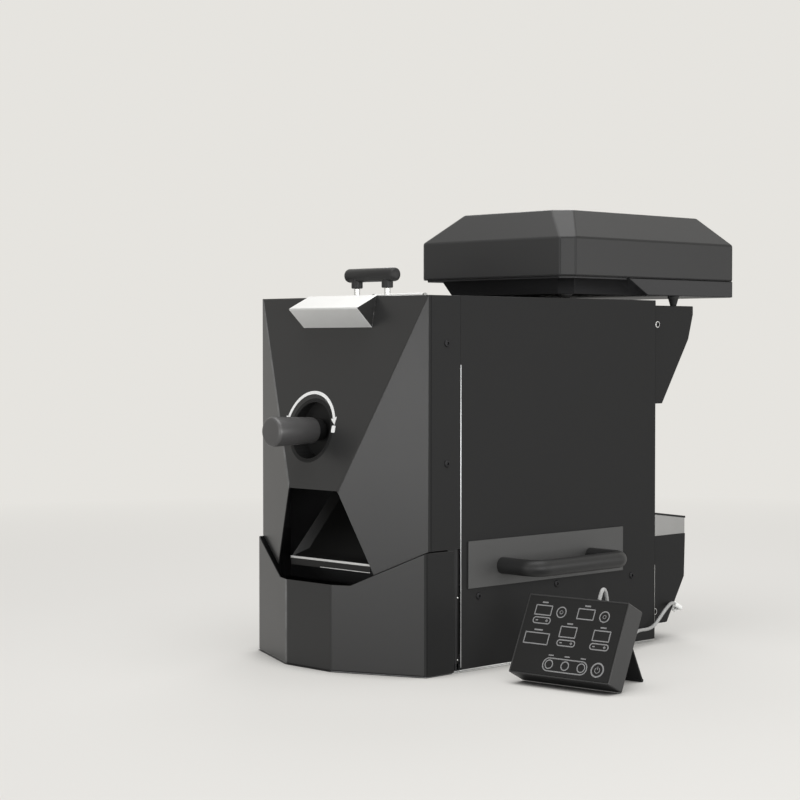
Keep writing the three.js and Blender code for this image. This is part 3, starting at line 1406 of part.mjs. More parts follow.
const coolerScreen = () => {
  const edge = tubTopInset + sheet + gap
    + (tubLowInset - tubTopInset) * (tubTop - screenHeight) / (tubTop - tubLow);
  const y0 = coolerFront + edge;
  const y1 = coolerFanY + coolerFanRadius + screenMargin;
  const half = coolerHalf - edge;
  const z1 = screenHeight + screenThickness;
  const plate = prism(cutRectangle(half, y0, y1, coolerCorner), 'z', screenHeight, z1);
  const skirtPlate = boxOf(
    -half, half, y1 - screenThickness, y1, tubLow + sheet + gap, screenHeight + sheet / 2,
  );
  const holes = [];
  const columns = Math.floor((half - screenMargin) / screenPitch);
  const rows = Math.floor((y1 - y0 - 2 * screenMargin) / screenPitch);
  for (let i = -columns; i <= columns; i++) {
    for (let j = 0; j <= rows; j++) {
      const [x, y] = [i * screenPitch, y0 + screenMargin + j * screenPitch];
      holes.push(rod('z', screenHoleRadius, screenHeight - sheet, z1 + sheet, x, y, screenHoleSides));
    }
  }
  return cut(join(plate, skirtPlate), ...holes);
};
addPiece(machine, 'cooler_screen', coolerScreen(), stainless);

const coolerMotorTop = tubLow + sheet + gap + coolerMotorHeight;
const fanGroup = new THREE.Group();
fanGroup.position.set(0, coolerFanY, 0);
machine.add(fanGroup);
addPiece(fanGroup, 'cooler_fan_motor', join(
  rod('z', coolerHubRadius - sheet, tubLow + sheet + gap, coolerMotorTop),
  rod('z', motorShaftRadius / 2, coolerMotorTop - sheet, screenHeight - 2 * sheet, 0, 0, smallSides),
), darkSteel);
const coolerFan = () => {
  const z0 = coolerMotorTop + 2 * gap;
  const wheel = bladedWheel(
    coolerHubRadius, coolerFanRadius, motorShaftRadius / 2 + gap, z0, screenHeight - 2 * sheet,
    coolerBladeCount, coolerBladeChord, coolerBladeTwist, coolerBladeThickness,
  );
  return wheel.rotateX(Math.PI / 2);
};
addPiece(fanGroup, 'cooler_fan', coolerFan(), blackPlastic);

for (const [end, x, y, low] of [
  ['front', frontCoolerFootX, frontCoolerFootY, bodyHeight],
  ['rear', rearCoolerFootX, rearCoolerFootY, ductTop],
]) {
  for (const [side, sign] of [['left', -1], ['right', 1]]) {
    const tip = coolerFootRadius * coolerFootTipShare;
    const foot = rod('z', tip, low + gap, tubLow - gap, sign * x, y, smallSides, coolerFootRadius);
    addPiece(machine, `cooler_foot_${end}_${side}`, foot, rubber);
  }
}

// Lid of the cooling unit: a hipped cover, hinged along its rear edge

const coolerLid = () => {
  const shell = (wall) => {
    const skirt = cutRectangle(coolerHalf - wall, coolerFront + wall, coolerRear - wall, coolerCorner);
    const ridge = cutRectangle(
      coolerHalf - ridgeInsetX - wall, coolerFront + ridgeInsetFront + wall,
      coolerRear - ridgeInsetRear - wall, ridgeCorner,
    );
    const drop = wall > 0 ? overrun : 0;
    return loft([skirt, skirt, ridge], [skirtLow - drop, skirtTop - wall / 2, ridgeHeight - wall]);
  };
  const barrels = hingeCentres.map((centre) => {
    const x0 = centre - hingeThird / 2 + gap;
    const x1 = centre + hingeThird / 2 - gap;
    const leaf = boxOf(
      x0, x1, coolerRear - sheet / 2, lidAxisY, lidAxisZ + barrelRadius - sheet, lidAxisZ + barrelRadius,
    );
    return join(barrel(x0, x1), leaf);
  });
  const pinHole = rod('x', hingePinRadius + gap / 4, -coolerHalf, coolerHalf, lidAxisY, lidAxisZ, smallSides);
  return cut(join(cut(shell(0), shell(sheet)), ...barrels), pinHole);
};
addPiece(machine, 'cooler_lid', coolerLid(), hoodPaint);

// Control box, leaning back on its lower rear edge and a folding stand

const controlTurn = new THREE.Group();
controlTurn.position.set(controlX, controlY, 0);
controlTurn.rotation.z = controlYaw;
const controlBox = new THREE.Group();
controlBox.rotation.x = -controlLean;
controlTurn.add(controlBox);
machine.add(controlTurn);

const controlCase = () => {
  const body = boxOf(-controlWidth, 0, -controlThickness, 0, 0, controlHeight);
  const recess = boxOf(
    facePanelInset - controlWidth, -facePanelInset, -controlThickness - overrun,
    facePanelThickness + gap - controlThickness, facePanelInset, controlHeight - facePanelInset,
  );
  const middle = -controlThickness / 2;
  const gland = rod(
    'z', glandRadius, controlHeight - sheet, controlHeight + glandLength, -glandAcross, middle,
    smallSides, glandTipRadius,
  );
  const ears = [-controlWidth + standSide - gap - 2 * standSheet, -standSide + gap].map((x) => {
    const x1 = x + 2 * standSheet;
    return join(
      rod('x', standBarrel, x, x1, standClear, standHinge, smallSides),
      boxOf(x, x1, -sheet, standClear, standHinge - standBarrel, standHinge + standBarrel),
    );
  });
  const pinHole = rod('x', standPin + gap / 4, -controlWidth, 0, standClear, standHinge, smallSides);
  return cut(join(cut(body, recess), gland, ...ears), pinHole);
};
addPiece(controlBox, 'control_case', controlCase(), blackPlastic);
addPiece(controlBox, 'control_face', boxOf(
  facePanelInset + gap - controlWidth, -facePanelInset - gap,
  -controlThickness, facePanelThickness - controlThickness,
  facePanelInset + gap, controlHeight - facePanelInset - gap,
), glossBlack);

// The stand hangs on two stub pins of its own and reaches down to the surface. Its frame is
// upright, so that its angle follows from the hinge's height and the foot's place.
const hingeBack = standHinge * Math.sin(controlLean) + standClear * Math.cos(controlLean);
const hingeUp = standHinge * Math.cos(controlLean) - standClear * Math.sin(controlLean);
const standAngle = Math.atan2(standReach - hingeBack, hingeUp - standSheet);
const standLength = Math.hypot(standReach - hingeBack, hingeUp - standSheet);
const controlStand = () => {
  const x0 = -controlWidth + standSide;
  const x1 = -standSide;
  const plate = boxOf(x0, x1, -standSheet / 2, standSheet / 2, -standLength, 0);
  const foot = rod('x', standSheet, x0, x1, 0, -standLength, smallSides);
  const barrel = rod('x', standBarrel - gap, x0, x1, 0, 0, smallSides);
  const pin = rod('x', standPin, x0 - standSheet, x1 + standSheet, 0, 0, smallSides);
  return join(plate, foot, barrel, pin);
};
const stand = addPiece(controlTurn, 'control_stand', controlStand(), blackPaint);
stand.position.set(0, hingeBack, hingeUp);
stand.rotation.x = standAngle;

// Control cable and the elbow plug on the chaff box

const cablePoints = cableRoute.map((point) => new THREE.Vector3(...point));
const cable = new THREE.CatmullRomCurve3(cablePoints, false, 'centripetal');
addPiece(machine, 'control_cable', tube(cable, cableDiameter / 2, thinTubeSides, cableSteps), cableGrey);
const cablePlug = () => {
  const start = socketLength + gap;
  const outletY = start + plugLength - plugOutletSetback;
  const body = rod('y', plugRadius, start, start + plugLength, 0, 0, smallSides);
  const spigot = rod('y', socketBore - gap, start - socketLength / 2, start + sheet, 0, 0, smallSides);
  const outlet = rod('x', plugOutletRadius, 0, plugOutletReach, outletY, 0, smallSides);
  return onSlant(join(body, spigot, outlet));
};
addPiece(machine, 'cable_plug', cablePlug(), stainless);

// The origin is the middle of the footprint, on the surface that the machine stands on. The
// cable and its plug aren't counted.

const footprint = new THREE.Box3();
machine.updateMatrixWorld(true);
machine.traverse((node) => {
  if (!node.isMesh || ['control_cable', 'cable_plug'].includes(node.name)) return;
  footprint.expandByObject(node, true);
});
const middle = footprint.getCenter(new THREE.Vector3());
machine.position.set(-middle.x, -middle.y, -footprint.min.z);

export default machine;
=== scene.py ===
# %% [markdown]
# # Home coffee bean roaster
#
# The real machine is a drum roaster in a case of folded, powder-coated sheet steel. Its CAD model
# already has the true sizes. This lesson loads that model as a fixed frame and gives it the looks
# of the real thing: rounded folds, turned grips, prints, screws, finishes and light.

import math

import bmesh
import bpy
from mathutils import Matrix, Vector


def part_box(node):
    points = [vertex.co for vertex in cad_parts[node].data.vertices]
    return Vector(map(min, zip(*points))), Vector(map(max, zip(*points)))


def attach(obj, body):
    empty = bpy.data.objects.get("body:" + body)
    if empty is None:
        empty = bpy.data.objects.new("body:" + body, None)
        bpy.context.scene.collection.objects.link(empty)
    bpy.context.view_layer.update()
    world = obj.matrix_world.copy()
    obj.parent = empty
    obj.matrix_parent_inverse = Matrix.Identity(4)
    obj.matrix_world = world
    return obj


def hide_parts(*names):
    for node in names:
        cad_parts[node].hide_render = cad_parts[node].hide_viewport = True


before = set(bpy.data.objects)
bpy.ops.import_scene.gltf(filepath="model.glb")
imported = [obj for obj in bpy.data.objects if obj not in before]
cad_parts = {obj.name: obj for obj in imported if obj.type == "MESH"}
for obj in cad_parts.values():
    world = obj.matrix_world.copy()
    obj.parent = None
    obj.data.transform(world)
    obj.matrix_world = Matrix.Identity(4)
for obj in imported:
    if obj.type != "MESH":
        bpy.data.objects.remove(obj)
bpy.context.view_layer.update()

# %% [markdown]
# ## Where things are
#
# A maker measures this machine from its own middle plane, the top edge of its front and the
# counter, in millimetres. The frame has its origin elsewhere, so one matrix turns the maker's
# millimetres into the frame's metres. It is read off the side panel, whose place is known in both.

# %% From the maker's millimetres to the frame
panel_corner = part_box("right_side_panel")[1]
HALF_WIDTH = 150
REAR_EDGE = 413
origin = Vector((panel_corner.x - HALF_WIDTH / 1000, panel_corner.y - REAR_EDGE / 1000, 0))
TO_FRAME = Matrix.Translation(origin) @ Matrix.Scale(0.001, 4)


def at(x, y, z):
    return TO_FRAME @ Vector((x, y, z))


print("machine origin in the frame", [round(v, 4) for v in origin])

# %% [markdown]
# ## The camera
#
# The photograph looks at the front right corner from almost straight ahead, with a long lens. The
# case's corners fix where the camera stood: 2.4 m away and only a little over the counter.

# %% Camera
LENS_MM = 89.47
CAMERA_PLACE = (1775.67, -1616.47, 385.41)
CAMERA_DOWN = 1.59
CAMERA_TURN = 46.03
camera_data = bpy.data.cameras.new("camera")
camera_data.sensor_width = 36
camera_data.lens = LENS_MM
camera = bpy.data.objects.new("camera", camera_data)
camera.location = at(*CAMERA_PLACE)
camera.rotation_euler = (math.radians(90 - CAMERA_DOWN), 0, math.radians(CAMERA_TURN))
bpy.context.scene.collection.objects.link(camera)
bpy.context.scene.camera = camera
bpy.context.scene.view_settings.view_transform = "Standard"
print("camera at", [round(v, 3) for v in camera.location])

# %% [markdown]
# ## Helpers for finishes
#
# A finish is a shader with small, uneven detail. Each helper adds one kind of detail: a noise at a
# given size of grain, a remapped value, a bump or a tint. All patterns use object coordinates,
# because every piece's object stays at the origin and so the grain keeps its true size.

# %% Finish helpers
def new_finish(name, colour, roughness, metallic=0.0, specular=0.5):
    finish = bpy.data.materials.new(name)
    finish.use_nodes = True
    shader = finish.node_tree.nodes["Principled BSDF"]
    shader.inputs["Base Color"].default_value = (*colour, 1)
    shader.inputs["Roughness"].default_value = roughness
    shader.inputs["Metallic"].default_value = metallic
    shader.inputs["Specular IOR Level"].default_value = specular
    return finish, finish.node_tree, shader


def grain(tree, size_mm, detail=2.0, stretch=(1, 1, 1)):
    """A noise whose features are about size_mm across, drawn out along the axes with a low stretch."""
    place = tree.nodes.new("ShaderNodeTexCoord")
    mapping = tree.nodes.new("ShaderNodeMapping")
    mapping.inputs["Scale"].default_value = stretch
    noise = tree.nodes.new("ShaderNodeTexNoise")
    noise.inputs["Scale"].default_value = 1000 / size_mm
    noise.inputs["Detail"].default_value = detail
    tree.links.new(place.outputs["Object"], mapping.inputs["Vector"])
    tree.links.new(mapping.outputs["Vector"], noise.inputs["Vector"])
    return noise.outputs["Fac"]


def remap(tree, value, low, high, start=0.3, end=0.7):
    node = tree.nodes.new("ShaderNodeMapRange")
    node.inputs["From Min"].default_value = start
    node.inputs["From Max"].default_value = end
    node.inputs["To Min"].default_value = low
    node.inputs["To Max"].default_value = high
    tree.links.new(value, node.inputs["Value"])
    return node.outputs["Result"]


def blend_colours(tree, factor, first, second):
    """Mixes two colours, each a tuple or another node's output, by a factor."""
    mix = tree.nodes.new("ShaderNodeMix")
    mix.data_type = "RGBA"
    tree.links.new(factor, mix.inputs["Factor"])
    for socket, colour in ((mix.inputs[6], first), (mix.inputs[7], second)):
        if isinstance(colour, tuple):
            socket.default_value = (*colour, 1)
        else:
            tree.links.new(colour, socket)
    return mix.outputs[2]


def bump(tree, shader, height, depth_mm, strength=1.0):
    node = tree.nodes.new("ShaderNodeBump")
    node.inputs["Distance"].default_value = depth_mm / 1000
    node.inputs["Strength"].default_value = strength
    tree.links.new(height, node.inputs["Height"])
    tree.links.new(node.outputs["Normal"], shader.inputs["Normal"])


def scaled(colour, factor):
    return tuple(min(1.0, channel * factor) for channel in colour)


# %% [markdown]
# ## Powder coat
#
# Powder is sprayed on dry and baked, which leaves a fine orange peel and a low sheen. The copies
# of the folded sheets carry two attributes of painted light: a painted highlight on the rounded
# folds that look left, broken up by a noise, and painted shade on those that look right. Each is 1
# on such rounded edges and 0 elsewhere, and the finish reads both.

# %% Powder coat
CLOUD_MM = 45
PEEL_MM = 0.9
GLINT_BREAKUP_MM = 14
SHADE_SHARE = 0.6


def powder_coat(name, colour, roughness=0.42, glint_gain=1.5, specular=0.25, dull=0.85):
    finish, tree, shader = new_finish(name, colour, roughness, specular=specular)
    cloud = grain(tree, CLOUD_MM, 3)
    peel = grain(tree, PEEL_MM, 2)
    flat = blend_colours(tree, cloud, scaled(colour, 0.995), scaled(colour, 1.005))
    # A painted highlight on the folds that look left, broken up by a noise, lightens the colour.
    glint_attribute = tree.nodes.new("ShaderNodeAttribute")
    glint_attribute.attribute_name = "painted_glint"
    broken_glint = tree.nodes.new("ShaderNodeMath")
    broken_glint.operation = "MULTIPLY"
    tree.links.new(glint_attribute.outputs["Fac"], broken_glint.inputs[0])
    tree.links.new(remap(tree, grain(tree, GLINT_BREAKUP_MM, 4), 0.45, 1.0), broken_glint.inputs[1])
    tint = blend_colours(tree, broken_glint.outputs[0], flat, scaled(colour, glint_gain))
    # Painted shade darkens the folds that look right and makes them rougher.
    shade_attribute = tree.nodes.new("ShaderNodeAttribute")
    shade_attribute.attribute_name = "shade"
    tint = blend_colours(tree, shade_attribute.outputs["Fac"], tint, scaled(colour, SHADE_SHARE))
    tree.links.new(tint, shader.inputs["Base Color"])
    matt = tree.nodes.new("ShaderNodeMix")
    matt.inputs[3].default_value = dull
    tree.links.new(shade_attribute.outputs["Fac"], matt.inputs[0])
    tree.links.new(remap(tree, cloud, roughness - 0.006, roughness + 0.006), matt.inputs[2])
    tree.links.new(matt.outputs[0], shader.inputs["Roughness"])
    bump(tree, shader, peel, 0.02, 0.3)
    return finish


BLACK_COAT = powder_coat("black_powder_coat", (0.019, 0.019, 0.019), 0.50, 1.0, 0.06)
FRONT_COAT = powder_coat("front_powder_coat", (0.020, 0.020, 0.020), 0.33, 9.0, 0.34)
HOOD_COAT = powder_coat("hood_powder_coat", (0.038, 0.038, 0.038), 0.42, 1.8, 0.14, 0.42)
TRAY_COAT = powder_coat("tray_front_coat", (0.060, 0.060, 0.059), 0.50, 1.3, 0.25, 0.50)
DARK_COAT = powder_coat("inner_dark_coat", (0.028, 0.028, 0.029), 0.55, 1.0)

# %% [markdown]
# ## Stainless, plain steel and zinc
#
# Brushed sheet has fine lines in one direction. A noise that is stretched along that direction
# gives them, both as a bump and as a change of gloss. The shafts and gears are plain machined
# steel: duller, with an even grain.

# %% Metals
def brushed(name, colour, roughness, stretch, size_mm=0.35, metallic=1.0, depth=0.5, spread=0.07):
    finish, tree, shader = new_finish(name, colour, roughness, metallic=metallic)
    lines = grain(tree, size_mm, 3, stretch)
    cloud = grain(tree, 30, 2)
    tree.links.new(
        blend_colours(tree, cloud, scaled(colour, 0.95), scaled(colour, 1.04)), shader.inputs["Base Color"]
    )
    tree.links.new(remap(tree, lines, roughness - spread, roughness + spread), shader.inputs["Roughness"])
    bump(tree, shader, lines, 0.02, depth)
    return finish


LID_STEEL = brushed("polished_lid_steel", (0.70, 0.70, 0.69), 0.46, (0.01, 1, 1), 0.35, 0.4, 0.02, 0.01)
# A dark copy of the lid's steel, painted shade on its faces that look aside.
SHADED_STEEL = brushed("shaded_steel", (0.10, 0.10, 0.10), 0.42, (1, 1, 0.05))
STAINLESS_PAN = brushed("stainless_pan", (0.46, 0.46, 0.45), 0.42, (0.03, 1, 1))
PLAIN_STEEL = brushed("plain_steel", (0.30, 0.30, 0.29), 0.40, (1, 0.2, 1), 0.8)
ZINC = brushed("zinc_plate", (0.52, 0.53, 0.54), 0.33, (1, 0.1, 1), 0.9)
# Near-black steel, painted shade for the chute and the bin's pan.
SHADE_DARK_STEEL = brushed("shade_dark_steel", (0.034, 0.034, 0.034), 0.50, (1, 0.05, 1))
BASKET_STEEL = brushed("basket_stainless", (0.28, 0.28, 0.276), 0.38, (0.03, 1, 1), 0.6, 0.9)
BRIGHT_STEEL = brushed("bright_fastener", (0.58, 0.58, 0.57), 0.36, (1, 1, 1), 0.5)
BLACK_STEEL = brushed("black_oxide_fastener", (0.022, 0.022, 0.023), 0.46, (1, 1, 1), 0.6)


# %% [markdown]
# ## Plastics, rubber and prints
#
# Moulded parts are matt with a fine spark-eroded grain. The touch panel is a glossy sheet that
# fingers leave dull patches on. Its marks and the arrow round the handle are screen prints.

# %% Plastics, rubber and prints
def moulded(name, colour, roughness, size_mm=0.6, depth_mm=0.03, mottle=0.08, specular=0.5):
    finish, tree, shader = new_finish(name, colour, roughness, specular=specular)
    fine = grain(tree, size_mm, 2)
    cloud = grain(tree, 22, 3)
    tint = blend_colours(tree, cloud, scaled(colour, 1 - mottle), scaled(colour, 1 + mottle))
    tree.links.new(tint, shader.inputs["Base Color"])
    tree.links.new(remap(tree, cloud, roughness - 0.03, roughness + 0.03), shader.inputs["Roughness"])
    bump(tree, shader, fine, depth_mm, 0.4)
    return finish


CASE_PLASTIC = moulded("case_plastic", (0.024, 0.024, 0.024), 0.42, specular=0.35)
GRIP_PLASTIC = moulded("grip_plastic", (0.020, 0.020, 0.020), 0.42, 0.7, specular=0.2)
KNOB_PLASTIC = moulded("knob_plastic", (0.055, 0.054, 0.054), 0.40, 0.7, specular=0.6)
DARK_PLASTIC = moulded("dark_plastic", (0.012, 0.012, 0.012), 0.5, specular=0.15)
FOOT_RUBBER = moulded("foot_rubber", (0.014, 0.014, 0.014), 0.78, 1.2, 0.05, 0.2)
TOUCH_PANEL = moulded("touch_panel", (0.010, 0.010, 0.010), 0.34, 18, 0.004, 0.02, 0.2)
PRINT_GREY = moulded("grey_print", (0.20, 0.20, 0.20), 0.55, 0.5, 0.01, 0.1)
PRINT_WHITE = moulded("white_print", (0.88, 0.88, 0.87), 0.5, 0.5, 0.01, 0.03)
CABLE_JACKET = moulded("cable_jacket", (0.30, 0.30, 0.295), 0.28, 0.8, 0.03, 0.08)
PLUG_WHITE = moulded("plug_white", (0.90, 0.90, 0.88), 0.35, 0.8, 0.02, 0.04)

# %% [markdown]
# ## The control cable
#
# The cable comes first, because its route decides how much room the model takes. It leaves a
# gland on top of the control box, arches over, lies on the counter behind the box and climbs
# along the case to a plug in the rear. The route repeats the CAD solid's points, and a smooth
# spline with round section follows them.

# %% Control cable
CABLE_ROUTE = [
    (317.3, 103.8, 96.2), (317.0, 106.2, 101.0), (316.7, 108.7, 105.2), (316.0, 112.6, 107.7),
    (315.3, 116.6, 105.4), (314.8, 119.2, 99.6), (314.3, 121.6, 91.4), (313.4, 127.4, 80.0),
    (312.4, 134.4, 67.6), (310.8, 144.0, 52.6), (308.0, 156.0, 29.0), (302.6, 166.6, 11.6),
    (293.8, 178.4, 3.6), (282.0, 190.0, 2.3), (266.0, 203.0, 2.3), (248.0, 219.0, 2.3),
    (230.0, 239.0, 2.4), (213.0, 262.0, 3.4), (197.0, 289.0, 6.6), (184.0, 316.0, 11.8),
    (173.0, 341.0, 17.4), (166.4, 357.0, 19.8), (163.0, 370.0, 20.0), (161.6, 381.0, 19.6),
    (160.8, 391.0, 20.6), (160.2, 400.0, 23.8), (159.8, 408.4, 29.6), (159.3, 417.8, 36.9),
    (158.2, 428.6, 43.8), (155.6, 439.5, 47.3), (153.0, 449.5, 45.8), (151.4, 457.8, 42.4),
    (149.4, 465.5, 39.2), (146.4, 470.3, 37.8), (142.4, 470.96, 37.53),
]
CABLE_DIAMETER = 0.0044
BOOT_DIAMETER = 0.0062


def round_run(name, route, diameter, steps, finish):
    """A smooth run with round section through the points of a route."""
    curve = bpy.data.curves.new(name, "CURVE")
    curve.dimensions = "3D"
    curve.bevel_depth = diameter / 2
    curve.bevel_resolution = 6
    curve.resolution_u = steps
    curve.use_fill_caps = True
    spline = curve.splines.new("BEZIER")
    spline.bezier_points.add(len(route) - 1)
    for point, place in zip(spline.bezier_points, route):
        point.co = at(*place)
        point.handle_left_type = point.handle_right_type = "AUTO"
    run = bpy.data.objects.new(name, curve)
    curve.materials.append(finish)
    bpy.context.scene.collection.objects.link(run)
    return run


cable_run = round_run("control_cable_run", CABLE_ROUTE, CABLE_DIAMETER, 8, CABLE_JACKET)
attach(cable_run, "root")
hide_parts("control_cable")

# %% [markdown]
# ## Helpers for shapes
#
# Four ways make nearly every piece here. A turned piece is a profile that is spun round an axis. A
# strip is a slim bar with rounded edges. A softened piece is a copy of a CAD sheet part whose folds
# and rims are beveled, since nothing folded from sheet has a perfectly sharp edge. A flat mark is a
# thin shape that is sheared or turned onto the surface that carries it.

# %% Shape helpers
SHARP_FROM = math.radians(35)


def add_piece(name, shape, body, finish, place=TO_FRAME):
    """Makes an object from a bmesh that is built in the maker's millimetres."""
    bmesh.ops.transform(shape, matrix=place, verts=shape.verts)
    mesh = bpy.data.meshes.new(name)
    shape.to_mesh(mesh)
    shape.free()
    mesh.materials.append(finish)
    mesh.shade_smooth()
    mesh.set_sharp_from_angle(angle=SHARP_FROM)
    piece = bpy.data.objects.new(name, mesh)
    bpy.context.scene.collection.objects.link(piece)
    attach(piece, body)
    return piece


SIDES = (("right", 1), ("left", -1))
AXES = {
    "x": Matrix.Rotation(math.radians(90), 4, "Y"),
    "y": Matrix.Rotation(math.radians(-90), 4, "X"),
    "z": Matrix.Identity(4),
}


def spin_profile(shape, profile, sides=64, closed=False):
    """Spins a profile of (radius, height) points round the Z axis. A closed one makes a ring."""
    points = [shape.verts.new((radius, 0, height)) for radius, height in profile]
    pairs = list(zip(points, points[1:]))
    if closed:
        pairs.append((points[-1], points[0]))
    edges = [shape.edges.new(pair) for pair in pairs]
    bmesh.ops.spin(
        shape, geom=points + edges, cent=(0, 0, 0), axis=(0, 0, 1), angle=2 * math.pi, steps=sides,
        use_merge=True,
    )
    bmesh.ops.remove_doubles(shape, verts=shape.verts, dist=0.001)
    bmesh.ops.recalc_face_normals(shape, faces=shape.faces)


def turned(profile, axis="z", centre=(0, 0, 0), sides=64, closed=False):
    """A turned shape along an axis through a point."""
    shape = bmesh.new()
    spin_profile(shape, profile, sides, closed)
    bmesh.ops.transform(shape, matrix=Matrix.Translation(centre) @ AXES[axis], verts=shape.verts)
    return shape


def strip(size, middle, softness, segments=2):
    """A slim bar with rounded edges, by its sizes along the axes and the place of its middle."""
    shape = bmesh.new()
    bmesh.ops.create_cube(shape, size=1)
    bmesh.ops.scale(shape, vec=size, verts=shape.verts)
    bmesh.ops.translate(shape, vec=middle, verts=shape.verts)
    bmesh.ops.bevel(
        shape, geom=list(shape.edges), offset=softness, offset_type="OFFSET", segments=segments, profile=0.5,
        affect="EDGES", clamp_overlap=True, material=-1,
    )
    return shape


def extended(shape, loop):
    """Extrudes a loop of edges in place, and gives the new points and the new loop."""
    made = bmesh.ops.extrude_edge_only(shape, edges=loop)["geom"]
    points = [item for item in made if isinstance(item, bmesh.types.BMVert)]
    edges = [item for item in made if isinstance(item, bmesh.types.BMEdge)]
    return points, edges


def breadth(face):
    return face.calc_area() / max(edge.calc_length() for edge in face.edges)


# Ranges of the normal's x that pick folds for the painted highlight and for the painted shade.
GLINT_SIDE = (-0.5, -0.02)
SHADED_SIDE = 0.55
FOLD_ANGLE = 6
RIM_ANGLE = 40
NARROW_FACE = 0.004
SHORT_RIM = 0.0012
SAME_POINT = 0.00001
SAME_PLANE = 0.4


def round_edges(shape, edges, offset_mm, segments, painted_glint=None, shade=None):
    """Bevels edges. Folds that look left get a painted highlight, those that look right painted shade."""
    made = bmesh.ops.bevel(
        shape, geom=edges, offset=offset_mm / 1000, offset_type="OFFSET", segments=segments, profile=0.5,
        affect="EDGES", clamp_overlap=False, material=-1,
    )
    shape.normal_update()
    for face in made["faces"]:
        for loop in face.loops:
            if painted_glint and GLINT_SIDE[0] < face.normal.x < GLINT_SIDE[1]:
                loop[painted_glint] = (1, 1, 1, 1)
            elif shade and face.normal.x > SHADED_SIDE:
                loop[shade] = (1, 1, 1, 1)


SQUARELY_ASIDE = 0.98
MOSTLY_UP = 0.6


def looks_aside(face):
    return abs(face.normal.x) > SQUARELY_ASIDE


def looks_aside_or_up(face):
    return looks_aside(face) or face.normal.z > MOSTLY_UP


def softened(
    name, node, body, finish, fold=1.4, rim=0.3, least=12, shaded_finish=None, shaded_faces=looks_aside,
):
    """A copy of a CAD sheet part with rounded folds and rims. It replaces the node.

    The faces that a test picks out can take a darker finish of their own, as painted shade.
    """
    shape = bmesh.new()
    shape.from_mesh(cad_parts[node].data)
    bmesh.ops.remove_doubles(shape, verts=shape.verts, dist=SAME_POINT)
    bmesh.ops.dissolve_limit(
        shape, angle_limit=math.radians(SAME_PLANE), verts=shape.verts, edges=shape.edges,
        delimit={"NORMAL"},
    )
    painted_glint = shape.loops.layers.float_color.new("painted_glint")
    shade = shape.loops.layers.float_color.new("shade")
    for face in shape.faces:
        for loop in face.loops:
            loop[painted_glint] = loop[shade] = (0, 0, 0, 1)

    def convex(edge, smallest):
        return edge.is_manifold and edge.is_convex and edge.calc_face_angle() > math.radians(smallest)

    folds = [
        edge for edge in shape.edges
        if convex(edge, FOLD_ANGLE) and edge.calc_length() > least / 1000
        and min(breadth(face) for face in edge.link_faces) > NARROW_FACE
    ]
    if folds and fold:
        round_edges(shape, folds, fold, 3, painted_glint, shade)
    rims = [edge for edge in shape.edges if convex(edge, RIM_ANGLE) and edge.calc_length() > SHORT_RIM]
    if rims and rim:
        round_edges(shape, rims, rim, 2)
    open_edges = sum(not edge.is_manifold for edge in shape.edges)
    shape.normal_update()
    if shaded_finish:
        for face in shape.faces:
            face.material_index = int(shaded_faces(face))
    piece = add_piece(name, shape, body, finish, Matrix.Identity(4))
    if shaded_finish:
        piece.data.materials.append(shaded_finish)
    evened = piece.modifiers.new("evened_normals", "WEIGHTED_NORMAL")
    evened.keep_sharp = True
    evened.weight = 80
    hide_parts(node)
    print(name, "folds", len(folds), "rims", len(rims), "open edges", open_edges)


def paint(finish, *nodes):
    """Gives CAD nodes that stay as they are a finish."""
    for node in nodes:
        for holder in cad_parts[node].material_slots:
            holder.material = finish


# %% [markdown]
# ## Flat marks and trims
#
# A print, a trim or a bezel starts as a flat shape in the plane of the front. It can be rounded,
# reduced to its outline and given a little depth before a matrix lays it onto its surface.

# %% Flat shapes
PRINT_DEPTH = 0.12
PANEL_PRINT_DEPTH = 0.14
LINE = 1.3
UPRIGHT = Matrix.Rotation(math.radians(90), 3, "X")


def thicken(shape, depth=PRINT_DEPTH):
    """Gives a flat shape in the XZ plane a little depth towards the front."""
    made = bmesh.ops.extrude_face_region(shape, geom=list(shape.faces))["geom"]
    raised = [item for item in made if isinstance(item, bmesh.types.BMVert)]
    bmesh.ops.translate(shape, vec=(0, -depth, 0), verts=raised)
    bmesh.ops.recalc_face_normals(shape, faces=shape.faces)


def plate(x0, x1, z0, z1, corner=0.0):
    """A flat rectangle in the XZ plane, with round corners if a radius is given."""
    shape = bmesh.new()
    bmesh.ops.create_grid(shape, x_segments=1, y_segments=1, size=0.5)
    bmesh.ops.rotate(shape, cent=(0, 0, 0), matrix=UPRIGHT, verts=shape.verts)
    bmesh.ops.scale(shape, vec=(x1 - x0, 1, z1 - z0), verts=shape.verts)
    bmesh.ops.translate(shape, vec=((x0 + x1) / 2, 0, (z0 + z1) / 2), verts=shape.verts)
    if corner:
        bmesh.ops.bevel(
            shape, geom=list(shape.verts), offset=corner, offset_type="OFFSET", segments=8, profile=0.5,
            affect="VERTICES", clamp_overlap=True, material=-1,
        )
    return shape


def hollow(shape, line=LINE):
    """Leaves only an outline of a flat shape."""
    middle = list(shape.faces)
    bmesh.ops.inset_region(shape, faces=middle, thickness=line, use_boundary=True, use_even_offset=True)
    bmesh.ops.delete(shape, geom=middle, context="FACES_ONLY")
    return shape


def ring(x, z, radius, line=LINE):
    shape = bmesh.new()
    bmesh.ops.create_circle(shape, segments=40, radius=radius, cap_ends=True)
    bmesh.ops.rotate(shape, cent=(0, 0, 0), matrix=UPRIGHT, verts=shape.verts)
    bmesh.ops.translate(shape, vec=(x, 0, z), verts=shape.verts)
    return hollow(shape, line)
